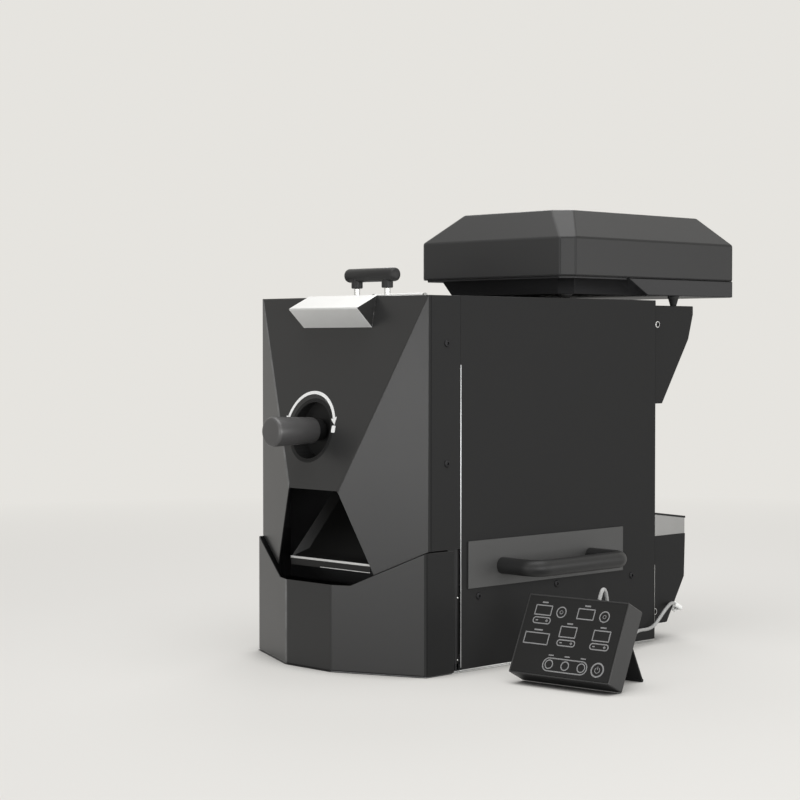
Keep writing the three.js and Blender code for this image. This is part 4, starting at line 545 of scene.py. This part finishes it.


# %% [markdown]
# ## Stage and light
#
# The stage is one pale floor that runs so far out that its edge meets a world of the same tint,
# so the object can be looked at from any side. What the camera and the gloss see of the far floor
# is that tint. Near the object the lit floor shows through, so it keeps the shadow, and close to
# the object an ambient occlusion darkens the floor's colour as a painted contact shadow. The light
# is a soft sky and seven soft boxes. Those at the right and above light the side and the hood's
# slopes. The front box shines back from the right-hand facets of the cover, the facet box from
# the bin's, and the middle facet faces away from both, so it stays dark. The back box lights the
# sides that the camera doesn't see.

# %% Stage
BACKDROP_TINT = (0.79, 0.775, 0.74, 1)
FLOOR_TINT = (0.40, 0.40, 0.393)
FLOOR_TINT_SEEN = (0.665, 0.655, 0.635)
PAINTED_SHADOW_TINT = (0.03, 0.03, 0.03)
PAINTED_SHADOW_REACH = 0.06
FLOOR_REACH = 14.0
NEAR_FLOOR = 0.9
FAR_FLOOR = 2.6
floor = bmesh.new()
bmesh.ops.create_circle(floor, cap_ends=True, segments=96, radius=FLOOR_REACH)
floor_mesh = bpy.data.meshes.new("stage_floor")
floor.to_mesh(floor_mesh)
floor.free()
stage_finish, stage_tree, stage_shader = new_finish("stage_paint", (0.80, 0.79, 0.77), 0.8, specular=0.2)
glow = stage_tree.nodes.new("ShaderNodeEmission")
glow.inputs["Color"].default_value = BACKDROP_TINT


def seen_rays(tree):
    """1 for what the camera, the gloss and clear pieces see directly, and 0 for light on the way."""
    path = tree.nodes.new("ShaderNodeLightPath")
    seen = path.outputs["Is Camera Ray"]
    for kind in ("Is Glossy Ray", "Is Transmission Ray"):
        either = tree.nodes.new("ShaderNodeMath")
        either.operation = "MAXIMUM"
        tree.links.new(seen, either.inputs[0])
        tree.links.new(path.outputs[kind], either.inputs[1])
        seen = either.outputs[0]
    return seen


def product(tree, first, second):
    node = tree.nodes.new("ShaderNodeMath")
    node.operation = "MULTIPLY"
    tree.links.new(first, node.inputs[0])
    tree.links.new(second, node.inputs[1])
    return node.outputs[0]


place = stage_tree.nodes.new("ShaderNodeTexCoord")
distance = stage_tree.nodes.new("ShaderNodeVectorMath")
distance.operation = "LENGTH"
stage_tree.links.new(place.outputs["Object"], distance.inputs[0])
far = remap(stage_tree, distance.outputs["Value"], 0.5, 1, NEAR_FLOOR, FAR_FLOOR)
seen = seen_rays(stage_tree)
floor_tint = blend_colours(stage_tree, seen, FLOOR_TINT, FLOOR_TINT_SEEN)
# An ambient occlusion darkens the floor's colour close to the object, a painted contact shadow, and holds the
# glow back there.
corner = stage_tree.nodes.new("ShaderNodeAmbientOcclusion")
corner.inputs["Distance"].default_value = PAINTED_SHADOW_REACH
corner.samples = 8
painted_shadow_mask = remap(stage_tree, corner.outputs["AO"], 0.0, 1.0, 0.15, 0.8)
floor_tint = blend_colours(stage_tree, painted_shadow_mask, PAINTED_SHADOW_TINT, floor_tint)
stage_tree.links.new(floor_tint, stage_shader.inputs["Base Color"])
glow_mix = stage_tree.nodes.new("ShaderNodeMixShader")
stage_tree.links.new(product(stage_tree, product(stage_tree, far, seen), painted_shadow_mask), glow_mix.inputs[0])
stage_tree.links.new(stage_shader.outputs["BSDF"], glow_mix.inputs[1])
stage_tree.links.new(glow.outputs["Emission"], glow_mix.inputs[2])
stage_tree.links.new(glow_mix.outputs["Shader"], stage_tree.nodes["Material Output"].inputs["Surface"])
floor_mesh.materials.append(stage_finish)
stage_floor = bpy.data.objects.new("stage_floor", floor_mesh)
bpy.context.scene.collection.objects.link(stage_floor)

# %% Lights
def soft_box(name, place, target, size, power):
    data = bpy.data.lights.new(name, "AREA")
    data.shape = "RECTANGLE"
    data.size, data.size_y = size
    data.energy = power
    lamp = bpy.data.objects.new(name, data)
    lamp.location = at(*place)
    lamp.rotation_euler = (at(*target) - lamp.location).to_track_quat("-Z", "Y").to_euler()
    bpy.context.scene.collection.objects.link(lamp)


soft_box("right_box", (2450, -650, 390), (0, 100, 200), (1.6, 0.75), 31)
soft_box("rear_box", (2200, 1300, 460), (0, 200, 300), (1.6, 0.9), 16.5)
soft_box("top_box", (300, -50, 2500), (0, 250, 300), (2.4, 2.4), 60)
soft_box("high_box", (100, -1900, 1900), (0, 0, 350), (0.7, 0.5), 3)
soft_box("front_box", (250, -2600, 270), (0, 0, 200), (1.5, 0.5), 14.5)
soft_box("facet_box", (1900, -1900, 400), (0, 0, 150), (1.2, 0.7), 9)
soft_box("back_box", (-1500, 1900, 2400), (0, 200, 250), (1.2, 1.2), 30)

SKY_GREY = (0.86, 0.86, 0.86, 1)
SKY_STRENGTH = 0.14
world = bpy.data.worlds.new("studio")
world.use_nodes = True
sky = world.node_tree.nodes["Background"]
sky.inputs["Color"].default_value = SKY_GREY
sky.inputs["Strength"].default_value = SKY_STRENGTH
backdrop = world.node_tree.nodes.new("ShaderNodeBackground")
backdrop.inputs["Color"].default_value = BACKDROP_TINT
sky_mix = world.node_tree.nodes.new("ShaderNodeMixShader")
sky_links = world.node_tree.links
sky_links.new(seen_rays(world.node_tree), sky_mix.inputs[0])
sky_links.new(sky.outputs["Background"], sky_mix.inputs[1])
sky_links.new(backdrop.outputs["Background"], sky_mix.inputs[2])
sky_links.new(sky_mix.outputs["Shader"], world.node_tree.nodes["World Output"].inputs["Surface"])
bpy.context.scene.world = world

# %% [markdown]
# ## The case
#
# The front cover is one sheet with a leaning facet between two upright ones. Its folds are
# rounded with a wider bevel than its cut edges. The side panels get the same treatment. The
# cover's faces that look aside or up take the side panels' duller coat, as painted shade. The top
# and the rear, the base pan and the inner sheets are only painted.

# %% Case
# The cover's faces that look aside or up take the duller coat as painted shade.
softened(
    "folded_front_cover", "front_cover", "root", FRONT_COAT, fold=2.4,
    shaded_finish=BLACK_COAT, shaded_faces=looks_aside_or_up,
)
softened("right_side_sheet", "right_side_panel", "root", BLACK_COAT, fold=1.2, rim=0.4)
softened("left_side_sheet", "left_side_panel", "root", BLACK_COAT, fold=1.2, rim=0.4)
paint(BLACK_COAT, "top_panel", "rear_panel")
paint(ZINC, "base_pan")
paint(DARK_COAT, "front_bulkhead", "rear_bulkhead", "tray_shelf")
paint(STAINLESS_PAN, "heat_shield", "hopper_funnel")
paint(FOOT_RUBBER, "foot_front_left", "foot_front_right", "foot_rear_left", "foot_rear_right")

# %% [markdown]
# ## Screws and rivets
#
# Small button-head screws hold the sheets together. A head is a low dome with a hexagon socket.
# The socket starts as a ring of 24 points that is drawn in to a hexagon and pushed down. Rivets
# are plain domes.

# %% Screws and rivets
def screw_head(radius, height, socket):
    shape = bmesh.new()
    bmesh.ops.create_circle(shape, segments=24, radius=radius)
    rings = [(radius, height * 0.35), (radius * 0.86, height * 0.8), (socket * 1.35, height)]
    loop = list(shape.edges)
    for size, level in rings:
        points, loop = extended(shape, loop)
        for point in points:
            flat = Vector((point.co.x, point.co.y, 0)).normalized() * size
            point.co = (flat.x, flat.y, level)
    for level in (height, height * 0.35):
        points, loop = extended(shape, loop)
        for point in points:
            turn = math.atan2(point.co.y, point.co.x) % (math.pi / 3) - math.pi / 6
            flat = Vector((point.co.x, point.co.y, 0)).normalized() * socket / math.cos(turn)
            point.co = (flat.x, flat.y, level)
    bmesh.ops.contextual_create(shape, geom=loop)
    base = [edge for edge in shape.edges if edge.is_boundary]
    bmesh.ops.contextual_create(shape, geom=base)
    bmesh.ops.recalc_face_normals(shape, faces=shape.faces)
    return shape


def rivet_head(radius, height):
    profile = [(0, 0), (radius, 0), (radius * 0.92, height * 0.5), (radius * 0.6, height * 0.9), (0, height)]
    shape = bmesh.new()
    spin_profile(shape, profile, 20)
    return shape


def fasten(name, heads, body, finish):
    """Joins several heads, each a shape with the matrix that places it, into one piece."""
    joined = bmesh.new()
    for shape, matrix in heads:
        bmesh.ops.transform(shape, matrix=matrix, verts=shape.verts)
        part = bpy.data.meshes.new("part")
        shape.to_mesh(part)
        shape.free()
        joined.from_mesh(part)
        bpy.data.meshes.remove(part)
    add_piece(name, joined, body, finish)


def facing(direction, place, turn=0.0):
    """A matrix that stands a head on a surface which faces a direction."""
    tilt = Vector(direction).to_track_quat("Z", "Y").to_matrix().to_4x4()
    return Matrix.Translation(place) @ tilt @ Matrix.Rotation(turn, 4, "Z")


SIDE_SCREWS = ((27.7, 387), (27.7, 247), (81.2, 88), (220.3, 91), (364.6, 89.6))
REAR_SCREWS = ((420.3, 411.8), (417.0, 37.6))
REAR_BOX_HALF = 146
heads = [
    (screw_head(radius=4.4, height=1.7, socket=1.6), facing((sign, 0, 0), (sign * HALF_WIDTH, y, z), i * 0.7))
    for sign in (1, -1) for i, (y, z) in enumerate(SIDE_SCREWS)
]
fasten("case_screws", heads, "root", BLACK_STEEL)

ring_places = [(sign, (sign * REAR_BOX_HALF, y, z)) for y, z in REAR_SCREWS for sign in (1, -1)]
heads = [
    (screw_head(radius=3.2, height=1.6, socket=1.5), facing((sign, 0, 0), place, 0.3))
    for sign, place in ring_places
]
fasten("rear_box_screws", heads, "root", BLACK_STEEL)
washer_profile = [(3.3, 0), (4.3, 0), (4.3, 0.7), (3.9, 1.0), (3.3, 1.0)]
washers = [
    (turned(washer_profile, sides=40, closed=True), facing((sign, 0, 0), place))
    for sign, place in ring_places
]
fasten("rear_box_washers", washers, "root", BRIGHT_STEEL)

# %% [markdown]
# ## Catch plates beside the bean bin
#
# In the dark gap between the bin's side and the side panel, two bright rivets show. They belong
# to a narrow strip that the bin's back edge closes against. The strip covers the whole gap, so no
# daylight comes through the machine.

# %% Catch plates
CATCH_X = 147.4
CATCH_THICKNESS = 1.2
CATCH_RIVETS = ((47.5, 88.5), (47.5, 15.3))
for side, sign in SIDES:
    catch_plate = strip(
        size=(CATCH_THICKNESS, 18.7, 141), middle=(sign * CATCH_X, 40.35, 81.5), softness=0.25,
    )
    add_piece(f"catch_plate_{side}", catch_plate, "root", DARK_PLASTIC)
    outside = sign * (CATCH_X + CATCH_THICKNESS / 2)
    heads = [
        (rivet_head(radius=1.1, height=0.8), facing((sign, 0, 0), (outside, y, z))) for y, z in CATCH_RIVETS
    ]
    fasten(f"catch_rivets_{side}", heads, "root", BRIGHT_STEEL)

# %% [markdown]
# ## Seam highlights and base edges
#
# Along its front edge the side panel shows a thin bright line at the seam with the cover, and low
# at the rear corner another. Slim strips of bright metal paint both as highlights on the folded
# edges. The edge of the folded base shows as two more bright lines under the panel, and slim
# strips stand for them too.

# %% Seam highlights and base edges
BASE_REAR = 412
BASE_EDGE_X = 149.7
for side, sign in SIDES:
    # A bright strip along the seam, a painted highlight.
    seam = strip(size=(0.5, 1.3, 356), middle=(sign * HALF_WIDTH, 50.9, 184), softness=0.12)
    add_piece(f"seam_highlight_{side}", seam, "root", ZINC)
    for level, z, near in (("high", 2.7, 49), ("low", 0.75, 37)):
        base_middle = (sign * BASE_EDGE_X, (BASE_REAR + near) / 2, z)
        base_edge = strip(size=(0.6, BASE_REAR - near, 0.9), middle=base_middle, softness=0.15)
        add_piece(f"base_edge_{level}_{side}", base_edge, "root", BRIGHT_STEEL)
    # A bright strip low at the rear corner, a painted highlight.
    corner_highlight = strip(size=(0.5, 0.6, 95), middle=(sign * HALF_WIDTH, 411.9, 52), softness=0.12)
    add_piece(f"corner_highlight_{side}", corner_highlight, "root", PLAIN_STEEL)

# %% [markdown]
# ## Hopper lid and its grip
#
# The lid is bright brushed stainless, and its faces that look squarely aside take a dark copy of
# the steel as painted shade. Its grip is a turned bar of black plastic with rounded ends on two
# posts, and the posts stand on two plain studs.

# %% Hopper lid
# Its faces that look aside take the dark steel as painted shade.
softened(
    "hopper_lid_sheet", "hopper_lid", "hopper_lid", LID_STEEL, fold=0.4, rim=0.15, least=8,
    shaded_finish=SHADED_STEEL,
)
paint(PLAIN_STEEL, "hopper_hinge")

GRIP_Y = 49
GRIP_Z = 470.6
GRIP_HALF = 43.5
POST_X = 27
POST_HEIGHT = 16
STUD_FOOT = 444.8
grip_profile = [
    (0, -GRIP_HALF), (4.2, -GRIP_HALF), (6.4, -GRIP_HALF + 0.5), (7.8, -GRIP_HALF + 1.7),
    (8.5, -GRIP_HALF + 4), (8.5, GRIP_HALF - 4), (7.8, GRIP_HALF - 1.7), (6.4, GRIP_HALF - 0.5),
    (4.2, GRIP_HALF), (0, GRIP_HALF),
]
grip_bar = turned(grip_profile, "x", (0, GRIP_Y, GRIP_Z), 48)
lid_grip_bar = add_piece("lid_grip_bar", grip_bar, "hopper_lid", GRIP_PLASTIC)
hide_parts("lid_grip")
post_profile = [(0, 0), (6.2, 0), (7, 0.8), (7, 12), (6.4, 14.2), (6.4, POST_HEIGHT), (0, POST_HEIGHT)]
stud_profile = [(0, 0), (3.7, 0), (3.7, 9.3), (3.5, 9.5), (0, 9.5)]
for side, sign in reversed(SIDES):
    post = turned(post_profile, "z", (sign * POST_X, GRIP_Y, GRIP_Z - POST_HEIGHT), 40)
    add_piece(f"grip_post_{side}", post, "hopper_lid", GRIP_PLASTIC)
    stud = turned(stud_profile, "z", (sign * POST_X, GRIP_Y, STUD_FOOT), 32)
    stud_piece = add_piece(f"grip_stud_{side}", stud, "hopper_lid", BRIGHT_STEEL)
    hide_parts(f"lid_stud_{side}")

# %% [markdown]
# ## Discharge handle
#
# A plain turned knob stands out of a round recess. Turning it opens the drum's discharge port.
# The knob's front edge is well rounded. A white printed arrow runs round the recess on the
# leaning facet, with a small index mark under its right-hand end. The prints are flat shapes that
# one shear matrix lays onto the facet.

# %% Knob and recess
KNOB_X = -18.6
KNOB_Z = 282.6
KNOB_FRONT = -98
KNOB_BACK = -20
GRIP_END = -32.5
knob_profile = [
    (0, KNOB_FRONT), (13.4, KNOB_FRONT), (15.1, KNOB_FRONT + 0.3), (16.6, KNOB_FRONT + 1.1),
    (17.5, KNOB_FRONT + 2.4), (17.9, KNOB_FRONT + 4.2), (15.7, GRIP_END - 1.2), (15.2, GRIP_END - 0.2),
    (14.6, GRIP_END), (0, GRIP_END),
]
collar_profile = [
    (0, GRIP_END + 0.1), (12.6, GRIP_END + 0.1), (13, GRIP_END + 0.6), (13, KNOB_BACK - 0.5),
    (12.6, KNOB_BACK), (0, KNOB_BACK),
]
knob = turned(knob_profile, "y", (KNOB_X, 0, KNOB_Z), 72)
collar = turned(collar_profile, "y", (KNOB_X, 0, KNOB_Z), 48)
add_piece("knob_collar", collar, "discharge_handle", DARK_PLASTIC)
knob_piece = add_piece("turned_knob", knob, "discharge_handle", KNOB_PLASTIC)
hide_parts("discharge_knob")
paint(DARK_PLASTIC, "knob_recess")
paint(PLAIN_STEEL, "knob_shaft", "discharge_shutter")

# %% Arrow and index mark
FACET_TOP = 441.5
FACET_TOP_Y = -0.682
FACET_HEIGHT = 228.5
FACET_SLOPE = (48.4 + FACET_TOP_Y) / FACET_HEIGHT
FACET_LEAN = Matrix((
    (1, 0, 0, 0),
    (0, 1, FACET_SLOPE, FACET_TOP_Y - FACET_TOP * FACET_SLOPE),
    (0, 0, 1, 0),
    (0, 0, 0, 1),
))
ARC_CENTRE = (-22, 285.3)
ARC_RADIUS = 42.6
ARC_HALF = 1.9


def arc_band(shape, centre, radius, half, start, end, steps):
    """A flat band along an arc, by spinning one short edge. Angles are in degrees from +X."""
    turn = math.radians(start)
    ends = [
        shape.verts.new((centre[0] + r * math.cos(turn), 0, centre[1] + r * math.sin(turn)))
        for r in (radius - half, radius + half)
    ]
    edge = shape.edges.new(ends)
    bmesh.ops.spin(
        shape, geom=ends + [edge], cent=(centre[0], 0, centre[1]), axis=(0, -1, 0),
        angle=math.radians(end - start), steps=steps,
    )


def arrow_head(shape, centre, radius, angle, sign, length, half):
    """A flat triangle across an arc, which points along it."""
    turn = math.radians(angle)
    away = Vector((math.cos(turn), 0, math.sin(turn)))
    along = Vector((-math.sin(turn), 0, math.cos(turn))) * sign
    middle = Vector((centre[0], 0, centre[1])) + away * radius
    corners = [middle - away * half, middle + away * half, middle + along * length]
    shape.faces.new([shape.verts.new(corner) for corner in corners])


ARROW_DEPTH = 0.3
arrow = bmesh.new()
arc_band(arrow, ARC_CENTRE, ARC_RADIUS, ARC_HALF, start=17, end=164, steps=48)
arrow_head(arrow, ARC_CENTRE, ARC_RADIUS, angle=18, sign=-1, length=8.5, half=5)
arrow_head(arrow, ARC_CENTRE, ARC_RADIUS, angle=163, sign=1, length=8.5, half=5)
thicken(arrow, ARROW_DEPTH)
mark = plate(17.2, 23.4, 281.0, 289.4, 1.6)
thicken(mark, ARROW_DEPTH)
bezel = ring(KNOB_X, KNOB_Z, 38.6, 2.4)
thicken(bezel)
add_piece("recess_bezel", bezel, "root", DARK_PLASTIC, TO_FRAME @ FACET_LEAN)
add_piece("turning_arrow", arrow, "root", PRINT_WHITE, TO_FRAME @ FACET_LEAN)
add_piece("index_mark", mark, "root", PRINT_WHITE, TO_FRAME @ FACET_LEAN)

# %% [markdown]
# ## Chute and bean bin
#
# The beans fall through the port onto a steel chute, coloured near black as painted shade. The
# chute's folded lip over the bin is a strip of bright steel, a painted highlight, with a shorter
# one under it. The bin's front is folded like the cover above it, with a dipped rim, and its faces
# that look aside or up take the side panels' duller coat as painted shade. The bin's pan has the
# chute's dark steel.

# %% Chute and bin
softened("chute_sheet", "discharge_chute", "root", SHADE_DARK_STEEL, fold=0.8, rim=0.25, least=8)
LIP_Y = -20.4
LIP_DEPTH = 2.2
LIP_SOFTNESS = 0.25
# A bright strip on the chute's lip, a painted highlight, and a shorter one under it.
lip_highlight = strip((142, LIP_DEPTH, 2.6), (0, LIP_Y, 125.6), LIP_SOFTNESS, segments=3)
add_piece("chute_lip_highlight", lip_highlight, "root", LID_STEEL)
lip_lower_glint = strip((88, LIP_DEPTH, 0.9), (27, LIP_Y, 116.9), LIP_SOFTNESS, segments=3)
add_piece("chute_lip_lower_glint", lip_lower_glint, "root", LID_STEEL)
# The bin front's faces that look aside or up take the duller coat as painted shade.
softened(
    "bin_front_sheet", "bean_bin_front", "bean_bin", FRONT_COAT, fold=2.4,
    shaded_finish=BLACK_COAT, shaded_faces=looks_aside_or_up,
)
paint(SHADE_DARK_STEEL, "bean_bin_pan")

# %% [markdown]
# ## Side tray and its handle
#
# The tray's front laps over its cut-out. The handle is one bent bar. It is made from a circle
# that is extruded along each straight part and spun round each bend.

# %% Side tray
softened(
    "tray_front_plate", "side_tray_front", "side_tray", TRAY_COAT, fold=0.9, rim=0.5, least=4,
)
paint(STAINLESS_PAN, "side_tray_pan")

TRAY_FACE = 152.3
HANDLE_RADIUS = 10
HANDLE_BAR = TRAY_FACE + 55.7
HANDLE_BEND = 18
NEAR_LEG = 120
FAR_LEG = 281
HANDLE_Z = 121.5
HANDLE_START = TRAY_FACE + 0.3
BEND_X = HANDLE_BAR - HANDLE_BEND
BEND_STEPS = 14


def pushed(shape, loop, vec):
    points, edges = extended(shape, loop)
    bmesh.ops.translate(shape, vec=vec, verts=points)
    return edges


def bent(shape, loop, centre):
    points = list({point for edge in loop for point in edge.verts})
    made = bmesh.ops.spin(
        shape, geom=points + loop, cent=centre, axis=(0, 0, 1), angle=math.pi / 2, steps=BEND_STEPS,
    )["geom_last"]
    return [item for item in made if isinstance(item, bmesh.types.BMEdge)]


handle = bmesh.new()
bmesh.ops.create_circle(handle, segments=32, radius=HANDLE_RADIUS, matrix=AXES["x"])
bmesh.ops.translate(handle, vec=(HANDLE_START, NEAR_LEG, HANDLE_Z), verts=handle.verts)
section = list(handle.edges)
section = pushed(handle, section, (BEND_X - HANDLE_START, 0, 0))
section = bent(handle, section, (BEND_X, NEAR_LEG + HANDLE_BEND, HANDLE_Z))
section = pushed(handle, section, (0, FAR_LEG - NEAR_LEG - 2 * HANDLE_BEND, 0))
section = bent(handle, section, (BEND_X, FAR_LEG - HANDLE_BEND, HANDLE_Z))
section = pushed(handle, section, (HANDLE_START - BEND_X, 0, 0))
bmesh.ops.holes_fill(handle, edges=[edge for edge in handle.edges if edge.is_boundary], sides=40)
bmesh.ops.recalc_face_normals(handle, faces=handle.faces)
handle_piece = add_piece("bent_handle", handle, "side_tray", GRIP_PLASTIC)
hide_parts("side_tray_handle")

# %% [markdown]
# ## Cooling unit
#
# The unit on top has a shallow tub, a perforated screen over a flat fan, and a hipped lid. The
# lid is the largest thing in the picture that is not plain, so its folds get a wide bevel. Conical
# rubber feet carry the tub.

# %% Cooling unit
softened("hipped_lid", "cooler_lid", "cooler_lid", HOOD_COAT, fold=2.0, rim=0.35, least=12)
softened("cooler_tub_sheet", "cooler_tub", "cooler", DARK_COAT, fold=0.9, rim=0.25, least=12)
paint(STAINLESS_PAN, "cooler_screen")
paint(DARK_PLASTIC, "cooler_fan")
paint(PLAIN_STEEL, "cooler_fan_motor")

TUB_UNDERSIDE = 449.7
FOOT_PLACES = {"front": (98, 296, 443.3), "rear": (122, 484, 436.8)}
for end, (x, y, low) in FOOT_PLACES.items():
    high = TUB_UNDERSIDE - low
    foot_profile = [
        (0, 0), (3.4, 0), (4.1, 0.5), (6.6, high * 0.72), (7.4, high * 0.8), (7.6, high), (0, high),
    ]
    for side, sign in reversed(SIDES):
        foot = turned(foot_profile, "z", (sign * x, y, low), 36)
        foot_piece = add_piece(f"rubber_foot_{end}_{side}", foot, "cooler", FOOT_RUBBER)
        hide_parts(f"cooler_foot_{end}_{side}")

# %% [markdown]
# ## Rear duct, chaff box and basket
#
# Two black boxes hang on the back. The lower one holds a stainless basket that collects chaff.

# %% Rear boxes
softened("duct_sheet", "rear_duct", "root", BLACK_COAT, fold=1.0)
softened("chaff_box_sheet", "chaff_box", "root", BLACK_COAT, fold=1.0)
softened("basket_sheet", "chaff_basket", "chaff_basket", BASKET_STEEL, fold=0.0, rim=0.25)
paint(DARK_PLASTIC, "power_inlet")

# A dark edge guard lies along the sloping top of the basket's collar.
COLLAR_FRONT = 413.5
COLLAR_TOP = 167
COLLAR_SLOPE = (158.5 - COLLAR_TOP) / 67.7
GUARD_HALF = 145.9
GUARD_REACH = 67.4
GUARD_LINE = 1.8
GUARD_HEIGHT = 2.6
GUARD_DROP = 2.2
guard = hollow(plate(-GUARD_HALF, GUARD_HALF, 0, GUARD_REACH), GUARD_LINE)
thicken(guard, GUARD_HEIGHT)
lay_down = Matrix.Rotation(math.radians(-90), 4, "X")
slope_down = Matrix((
    (1, 0, 0, 0),
    (0, 1, 0, COLLAR_FRONT),
    (0, COLLAR_SLOPE, 1, COLLAR_TOP - GUARD_DROP),
    (0, 0, 0, 1),
))
guard_place = TO_FRAME @ slope_down @ lay_down
add_piece("basket_edge_guard", guard, "chaff_basket", DARK_PLASTIC, guard_place)

# %% [markdown]
# ## Control box
#
# A flat plastic case leans on a folding stand. Its face is one glossy printed sheet. The marks on
# it are thin outlines: display windows, keys with minus and plus, round keys and a power key. Each
# is a grid or circle that is rounded, inset and thickened, and one matrix lays them all onto the
# leaning face.

# %% Control box
softened("control_case_shell", "control_case", "root", CASE_PLASTIC, fold=1.8, rim=0.25)
paint(TOUCH_PANEL, "control_face")
paint(BLACK_COAT, "control_stand")

CONTROL_LEAN = math.radians(26)
CONTROL_YAW = math.radians(6.4)
CONTROL_CORNER = (371.3, 79.7, 0)
FACE_DEPTH = -30.5
KEY_SIGN = 3.2
ON_BOX = (
    Matrix.Translation(CONTROL_CORNER) @ Matrix.Rotation(CONTROL_YAW, 4, "Z")
    @ Matrix.Rotation(-CONTROL_LEAN, 4, "X")
)
ON_FACE = ON_BOX @ Matrix.Translation((0, FACE_DEPTH, 0))


def minus(x, z):
    return [plate(x - KEY_SIGN / 2, x + KEY_SIGN / 2, z - LINE / 2, z + LINE / 2)]


def plus(x, z):
    return minus(x, z) + [plate(x - LINE / 2, x + LINE / 2, z - KEY_SIGN / 2, z + KEY_SIGN / 2)]


WINDOWS = (
    (-122.6, -99.4, 70.6, 83.2), (-64.4, -41.2, 70.3, 83.6), (-127.6, -93.6, 36.0, 50.2),
    (-81.7, -58.9, 47.2, 60.8), (-36.6, -13.6, 47.1, 60.3),
)
SIGN_KEYS = ((-122.4, -97.6, 60.4, 68.8), (-82.0, -56.8, 36.9, 45.0), (-37.5, -12.0, 36.9, 45.0))
DIAL_KEYS = ((-86.2, 76.4), (-27.6, 76.1))
KEY_ROW_X = (-84.4, -62.7, -40.9)
KEY_ROW_Z = 14.6
POWER_X = -19.1

marks = []
for x0, x1, z0, z1 in WINDOWS:
    marks.append(hollow(plate(x0, x1, z0, z1, 0.8)))
    width = (x1 - x0) * 0.34
    middle = (x0 + x1) / 2
    marks.append(plate(middle - width / 2, middle + width / 2, z1 + 2.2, z1 + 3.9, 0.5))
for x0, x1, z0, z1 in SIGN_KEYS:
    middle = (z0 + z1) / 2
    marks.append(hollow(plate(x0, x1, z0, z1, 3.9)))
    marks += minus(x0 + 5.6, middle) + plus(x1 - 5.6, middle)
for x, z in DIAL_KEYS:
    marks.append(ring(x, z, 6.8))
    marks.append(ring(x, z, 2.3, 0.6))
marks.append(hollow(plate(-93.1, -32.7, 6.2, 22.6, 7.9)))
for x in KEY_ROW_X:
    marks.append(ring(x, KEY_ROW_Z, 5.6))
    marks.append(plate(x - 3.4, x + 3.4, 24.6, 26.0, 0.4))
marks.append(ring(POWER_X, KEY_ROW_Z, 8.6, 1.7))
power = bmesh.new()
arc_band(power, (POWER_X, 14.4), radius=3.2, half=0.4, start=-235, end=55, steps=28)
marks.append(power)
marks.append(plate(POWER_X - 0.4, POWER_X + 0.4, 14.8, 18.6))
for shape in marks:
    thicken(shape, PANEL_PRINT_DEPTH)
fasten("panel_print", [(shape, ON_FACE) for shape in marks], "root", PRINT_GREY)
print("printed marks", len(marks))

# %% [markdown]
# ## Cable fittings
#
# The cable leaves the box through a tapered rubber sleeve and ends in a white elbow that plugs
# into the chaff box. A bent boot joins the cable to the elbow.

# %% Cable fittings
GLAND_ON_BOX = (-51, -15.25, 95.1)
sleeve_profile = [(2.25, 0), (4.6, 0), (4.4, 1.2), (3.4, 3.6), (3.0, 4.6), (2.25, 4.6)]
sleeve = bmesh.new()
spin_profile(sleeve, sleeve_profile, 32, closed=True)
sleeve_place = TO_FRAME @ ON_BOX @ Matrix.Translation(GLAND_ON_BOX)
add_piece("strain_relief", sleeve, "root", DARK_PLASTIC, sleeve_place)
paint(PLUG_WHITE, "cable_plug")
plug_boot = round_run("plug_boot", CABLE_ROUTE[-5:-1], BOOT_DIAMETER, 12, PLUG_WHITE)
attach(plug_boot, "root")

# %% [markdown]
# ## Inside the machine
#
# The drum, its drive, the heater, the fans and the power board show when a lid or a bin is open,
# so each gets a finish too.

# %% Inner parts
paint(PLAIN_STEEL, "drum", "drum_shaft", "drum_gear", "motor_pinion", "front_bearing", "rear_bearing")
paint(PLAIN_STEEL, "heater_element")
paint(DARK_COAT, "drum_motor", "exhaust_fan_tube", "exhaust_fan_motor")
paint(DARK_PLASTIC, "exhaust_fan_wheel")
board_finish = moulded("board_laminate", (0.02, 0.10, 0.045), 0.4, 3, 0.05, 0.35)
paint(board_finish, "power_board")
